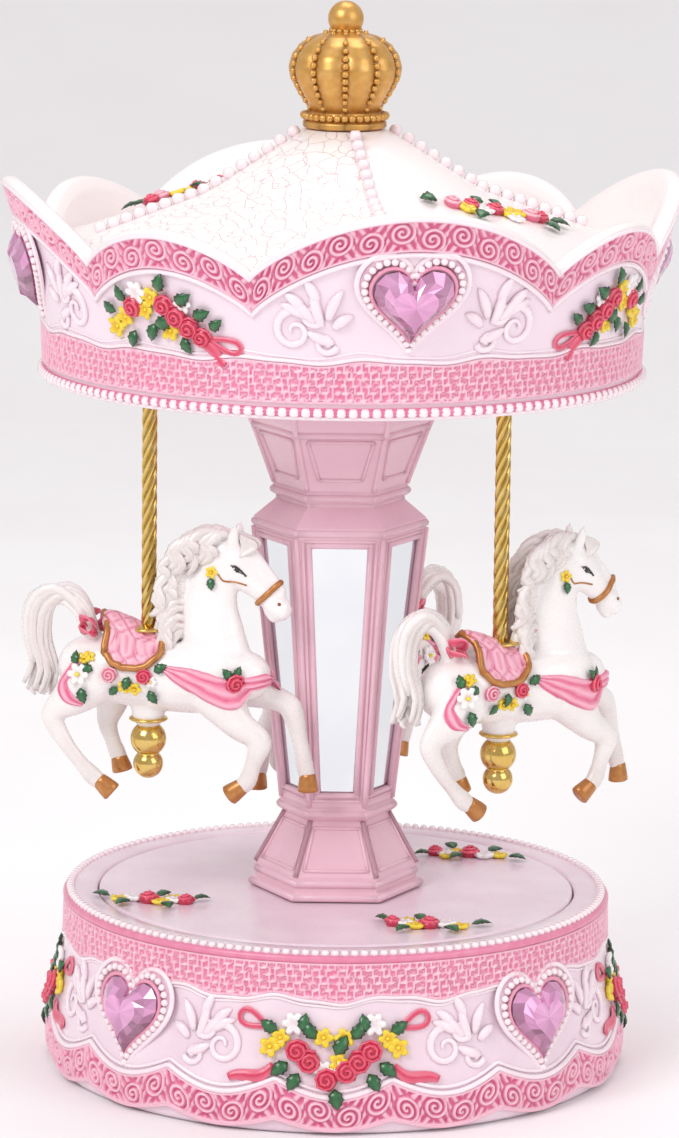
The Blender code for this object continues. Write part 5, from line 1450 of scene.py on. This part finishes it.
def saddleShapes(target):
    # a pad over the back whose edge follows a flattened oval, ruled by two crossed sets of sewn lines
    reach = np.linspace(-1, 1, 40)[:, None]
    share = np.linspace(-1, 1, 61)[None]
    ahead = -3.2 + 9.4 * reach
    drop = np.radians(80) * np.clip(1 - reach ** 2, 0, 1) ** 0.42
    angle = share * drop
    place = np.stack([ahead + 0 * share, 15 * np.sin(angle), 11 + 15 * np.cos(angle)], -1)
    skin = snapped(place, target, 0.0)
    out = snapped(place, target, 1.0) - skin
    run = np.cumsum(np.linalg.norm(np.diff(skin, axis=1, prepend=skin[:, :1]), axis=-1), axis=1)
    side = run - run[:, 30:31]
    ahead = skin[..., 0]
    lines = np.minimum(np.abs(np.sin((ahead + side) * np.pi / 4.4)),
                       np.abs(np.sin((ahead - side) * np.pi / 4.4)))
    puff = np.clip(lines * 2.4, 0, 1)
    spot = np.clip(1.2 - np.abs(lines - 0.95) * 9, 0, 1)
    top = skin + out * (0.5 + 0.4 * puff)[..., None]
    under = (skin - out * 0.7)[:, ::-1]
    shade = np.clip(puff - 0.45 * spot, 0, 1)
    pad = facingOut(grid(np.concatenate([top, under], axis=1), around=True, start=True, end=True,
                         tint=np.concatenate([shade, 0 * shade], axis=1)))
    edge = np.concatenate([place[:, 0], place[::-1, -1]])
    border = snapped(edge, target, 0.75)
    border = smoothLine(border[::2], 90)
    rim = tube(border, 0.95, sides=8, up=(0, 0.3, 1), closed=True, tint=0.8)
    return [(pad, quiltPaint), (facingOut(rim), copperPaint)]


def headShapes(side, target):
    # the painted eye with its lashes, the copper line along the jaw
    parts = []
    lid = np.array([(22.5, 39.7), (23.6, 39.9), (24.9, 39.3), (26.1, 38.1), (27.2, 36.8)])
    under = np.array([(23.3, 38.6), (24.3, 37.9), (25.4, 37.7), (26.4, 37.5)])
    for line, thick in ((lid, 0.28), (under, 0.12)):
        path = smoothLine(np.column_stack([line[:, 0], np.full(len(line), side * 7.0), line[:, 1]]), 14)
        parts.append((tube(snapped(path, target, 0.12), thick, sides=6, up=(0, 1, 0), tint=0.4), darkPaint))
    middle = snapped(np.array([[24.7, side * 7.0, 38.6]]), target, -0.25)
    parts.append((repeated(ball(7, 14, 0.2), middle, 0.72), darkPaint))
    for ahead in (22.6, 23.4, 24.2):
        path = np.array([(ahead + 0.4, side * 7, 39.2), (ahead, side * 7, 39.8),
                         (ahead - 0.5, side * 7, 40.2)])
        parts.append((tube(snapped(path, target, 0.15), 0.16, sides=5, up=(0, 1, 0), tint=0.4), darkPaint))
    jaw = smoothLine(np.array([(19.4, side * 5, 37.4), (20.8, side * 5, 35.6), (23.4, side * 5, 34.6),
                               (26.8, side * 5, 34.0)]), 16)
    parts.append((tube(settled(jaw, target, 0.05), 0.24, sides=6, up=(0, 1, 0), tint=0.7), copperPaint))
    nostril = snapped(np.array([[35.8, side * 4.0, 30.4]]), target, -0.1)
    parts.append((repeated(ball(4, 8, 0.1), nostril, 0.5), copperPaint))
    return parts


def noseband(target):
    # a loop round the muzzle, square to the line of the face
    turn = np.linspace(0, 2 * np.pi, 28, endpoint=False)[:, None]
    middle, rise = np.array([31.4, 0, 31.9]), np.array([0.72, 0, 0.7])
    loop = settled(middle + 4.4 * (np.cos(turn) * [0, 1, 0] + np.sin(turn) * rise), target, 0.15, True)
    return [(facingOut(tube(loop, 0.8, sides=8, up=(0.7, 0, -0.7), closed=True, tint=0.8)), copperPaint)]


def tailBow():
    # two loops on each side of the tail's root, with a knot of ribbon across them
    loops = []
    for side in (-1, 1):
        for lift in (0, 1):
            path = smoothLine([(-15.4, side * 0.6, 21.4), (-17.5, side * 3.4, 23.6 - 2.6 * lift),
                               (-14.4, side * 5.4, 24.2 - 3.8 * lift),
                               (-13.4, side * 3.0, 22.0 - 1.6 * lift), (-15.0, side * 0.6, 20.8)], 20)
            loops.append(bandShape(path, 2.3, 0.35, up=(1, 0, 0.4)))
    knot = bandShape(smoothLine([(-16.8, -2.8, 19.8), (-17.4, 0, 22.6), (-16.8, 2.8, 19.8)], 12), 2.6, 0.5,
                     up=(1, 0, 1))
    return [(shape, ribbonPaint) for shape in loops + [knot]]


def sideShapes(side, target):
    # one side's garland, head flowers and chest flowers, all mirrored by side
    garland = [("y", -16.4, 18.4, 1.9, 0), ("y", -13.8, 19.4, 1.7, 40), ("l", -19.6, 14.4, 2.0, 100),
               ("w", -17.2, 10.8, 3.1, 0), ("l", -11.9, 12.6, 2.0, 160), ("p", -8.4, 10.4, 2.1, 0),
               ("l", -2.9, 10.6, 1.9, 250), ("r", 0.8, 10.8, 2.0, 0), ("l", 3.4, 12.6, 2.0, 30),
               ("y", -4.4, 6.2, 1.9, 0), ("y", -1.8, 6.0, 1.9, 60), ("l", 2.0, 5.8, 2.1, 300),
               ("l", -15.8, 6.6, 2.2, 285), ("l", -6.4, 6.4, 1.7, 230), ("w", 2.6, 9.0, 1.7, 0)]
    head = [("y", 17.0, 38.8, 1.7, 0), ("l", 17.2, 37.4, 1.7, 275)]
    chest = [("r", 28.4, 8.6, 2.5, 0), ("l", 27.0, 11.0, 1.9, 130), ("l", 28.4, 11.4, 1.7, 60)]
    sash = skinStrip([(5.8, side * 12, 14.4, 0), (11, side * 12, 11.4, 0), (17, side * 12, 8.4, 0),
                      (23, side * 12, 7.0, 0), (28.8, side * 9, 8.2, 0), (33, side * 3.0, 9.6, 0),
                      (33.6, side * 0.2, 9.8, 0)], [1.2, 3.6, 4.5, 4.5, 3.4, 2.6, 2.4], target, 0.9, 3.0)
    strap = skinStrip([(-17, side * 12, 17, 0), (-21, side * 11, 12, 0), (-22.5, side * 10, 8, 0),
                       (-19.5, side * 11, 3.5, 0), (-15, side * 10, 1.4, 0)], [1.2, 2.0, 2.2, 2.0, 1.0],
                      target, 0.7, 2.0)
    parts = skinBunch(garland, side, target) + skinBunch(head, side, target) + skinBunch(chest, side, target)
    return parts + [(sash, sashPaint), (strap, sashPaint)] + headShapes(side, target)


def hoofShapes():
    # a short cone, wider and flatter towards its sole, with a rounded coronet
    shapes = []
    for start, stop in hooves:
        step = np.array([0.0, 0.06, 0.2, 0.7, 0.94, 1.0])
        path = np.array(start) + (np.array(stop) - np.array(start)) * step[:, None]
        shapes.append(tube(path, np.array([1.5, 2.1, 2.25, 2.65, 2.75, 2.35]), sides=20, up=(0, 1, 0),
                           flat=0.82, tint=0.8))
    return shapes


def standing(parts, heading, x, y, belly):
    # turned to the horse's heading about its pole, then moved to the pole and up to the belly
    c, s = np.cos(np.radians(heading)), np.sin(np.radians(heading))
    turn = np.array([[c, s, 0], [-s, c, 0], [0, 0, 1]])
    return [((shape[0] @ turn + [x, y, belly], shape[1], shape[2]), finish) for shape, finish in parts]


def makeHorses():
    # one horse is made, then placed on each pole at the pole's own heading
    skin, (points, groups) = fusedBody()
    # painted shade: the tint falls lower down the body and on the insides of the legs below the belly
    shade = np.clip(0.75 + 0.02 * points[:, 2] - 0.05 * np.clip(4.0 - np.abs(points[:, 1]), 0,
                                                                4) * (points[:, 2] < 0), 0, 1)
    body = (points, groups, shade)
    hair = joined(*(maneShapes() + tailShapes()))
    trims = []
    for side in (-1, 1):
        trims += sideShapes(side, skin)
    trims += saddleShapes(skin) + noseband(skin) + tailBow()
    feet = joined(*hoofShapes())
    bpy.data.objects.remove(skin)
    for number in (1, 2, 3):
        low, high = [np.array(corner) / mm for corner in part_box(f"pole_{number}")]
        x, y = (low[:2] + high[:2]) / 2
        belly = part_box(f"saddle_washer_{number}")[0].z / mm - horse["bellyBelowSeat"]
        place = (horse["headings"][number - 1], x, y, belly)
        rider = f"rider_{number}"
        addPiece(f"horseBody{number}", standing([(body, ivoryResin)], *place), rider,
                 replaces=[f"horse_{number}"])
        addPiece(f"maneAndTail{number}", standing([(hair, ivoryResin)], *place), rider)
        addPiece(f"hooves{number}", standing([(feet, copperPaint)], *place), rider)
        addPiece(f"harness{number}", standing(trims, *place), rider)


makeHorses()
print("horses made")

# finishes of the parts that keep their own shape

finishes = {"column": dustyResin, "canopy_ceiling": pearlResin, "bottom_cover": coverBoard, "bedplate": zinc,
            "cylinder_bearing_inner": zinc, "cylinder_bearing_outer": zinc, "governor_bracket": zinc,
            "spring_barrel": plainBrass, "crown_gear": plainBrass, "music_cylinder": plainBrass,
            "cylinder_pinion": plainBrass, "cylinder_wheel": plainBrass, "governor_wheel": plainBrass,
            "winding_key": plainBrass}
for nodeName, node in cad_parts.items():
    finish = mirrorGlass if nodeName.startswith("mirror_") else finishes.get(nodeName, steel)
    for index in range(len(node.material_slots)):
        node.material_slots[index].material = finish
    if not node.material_slots:
        node.data.materials.append(finish)
print("finishes given to the movement")
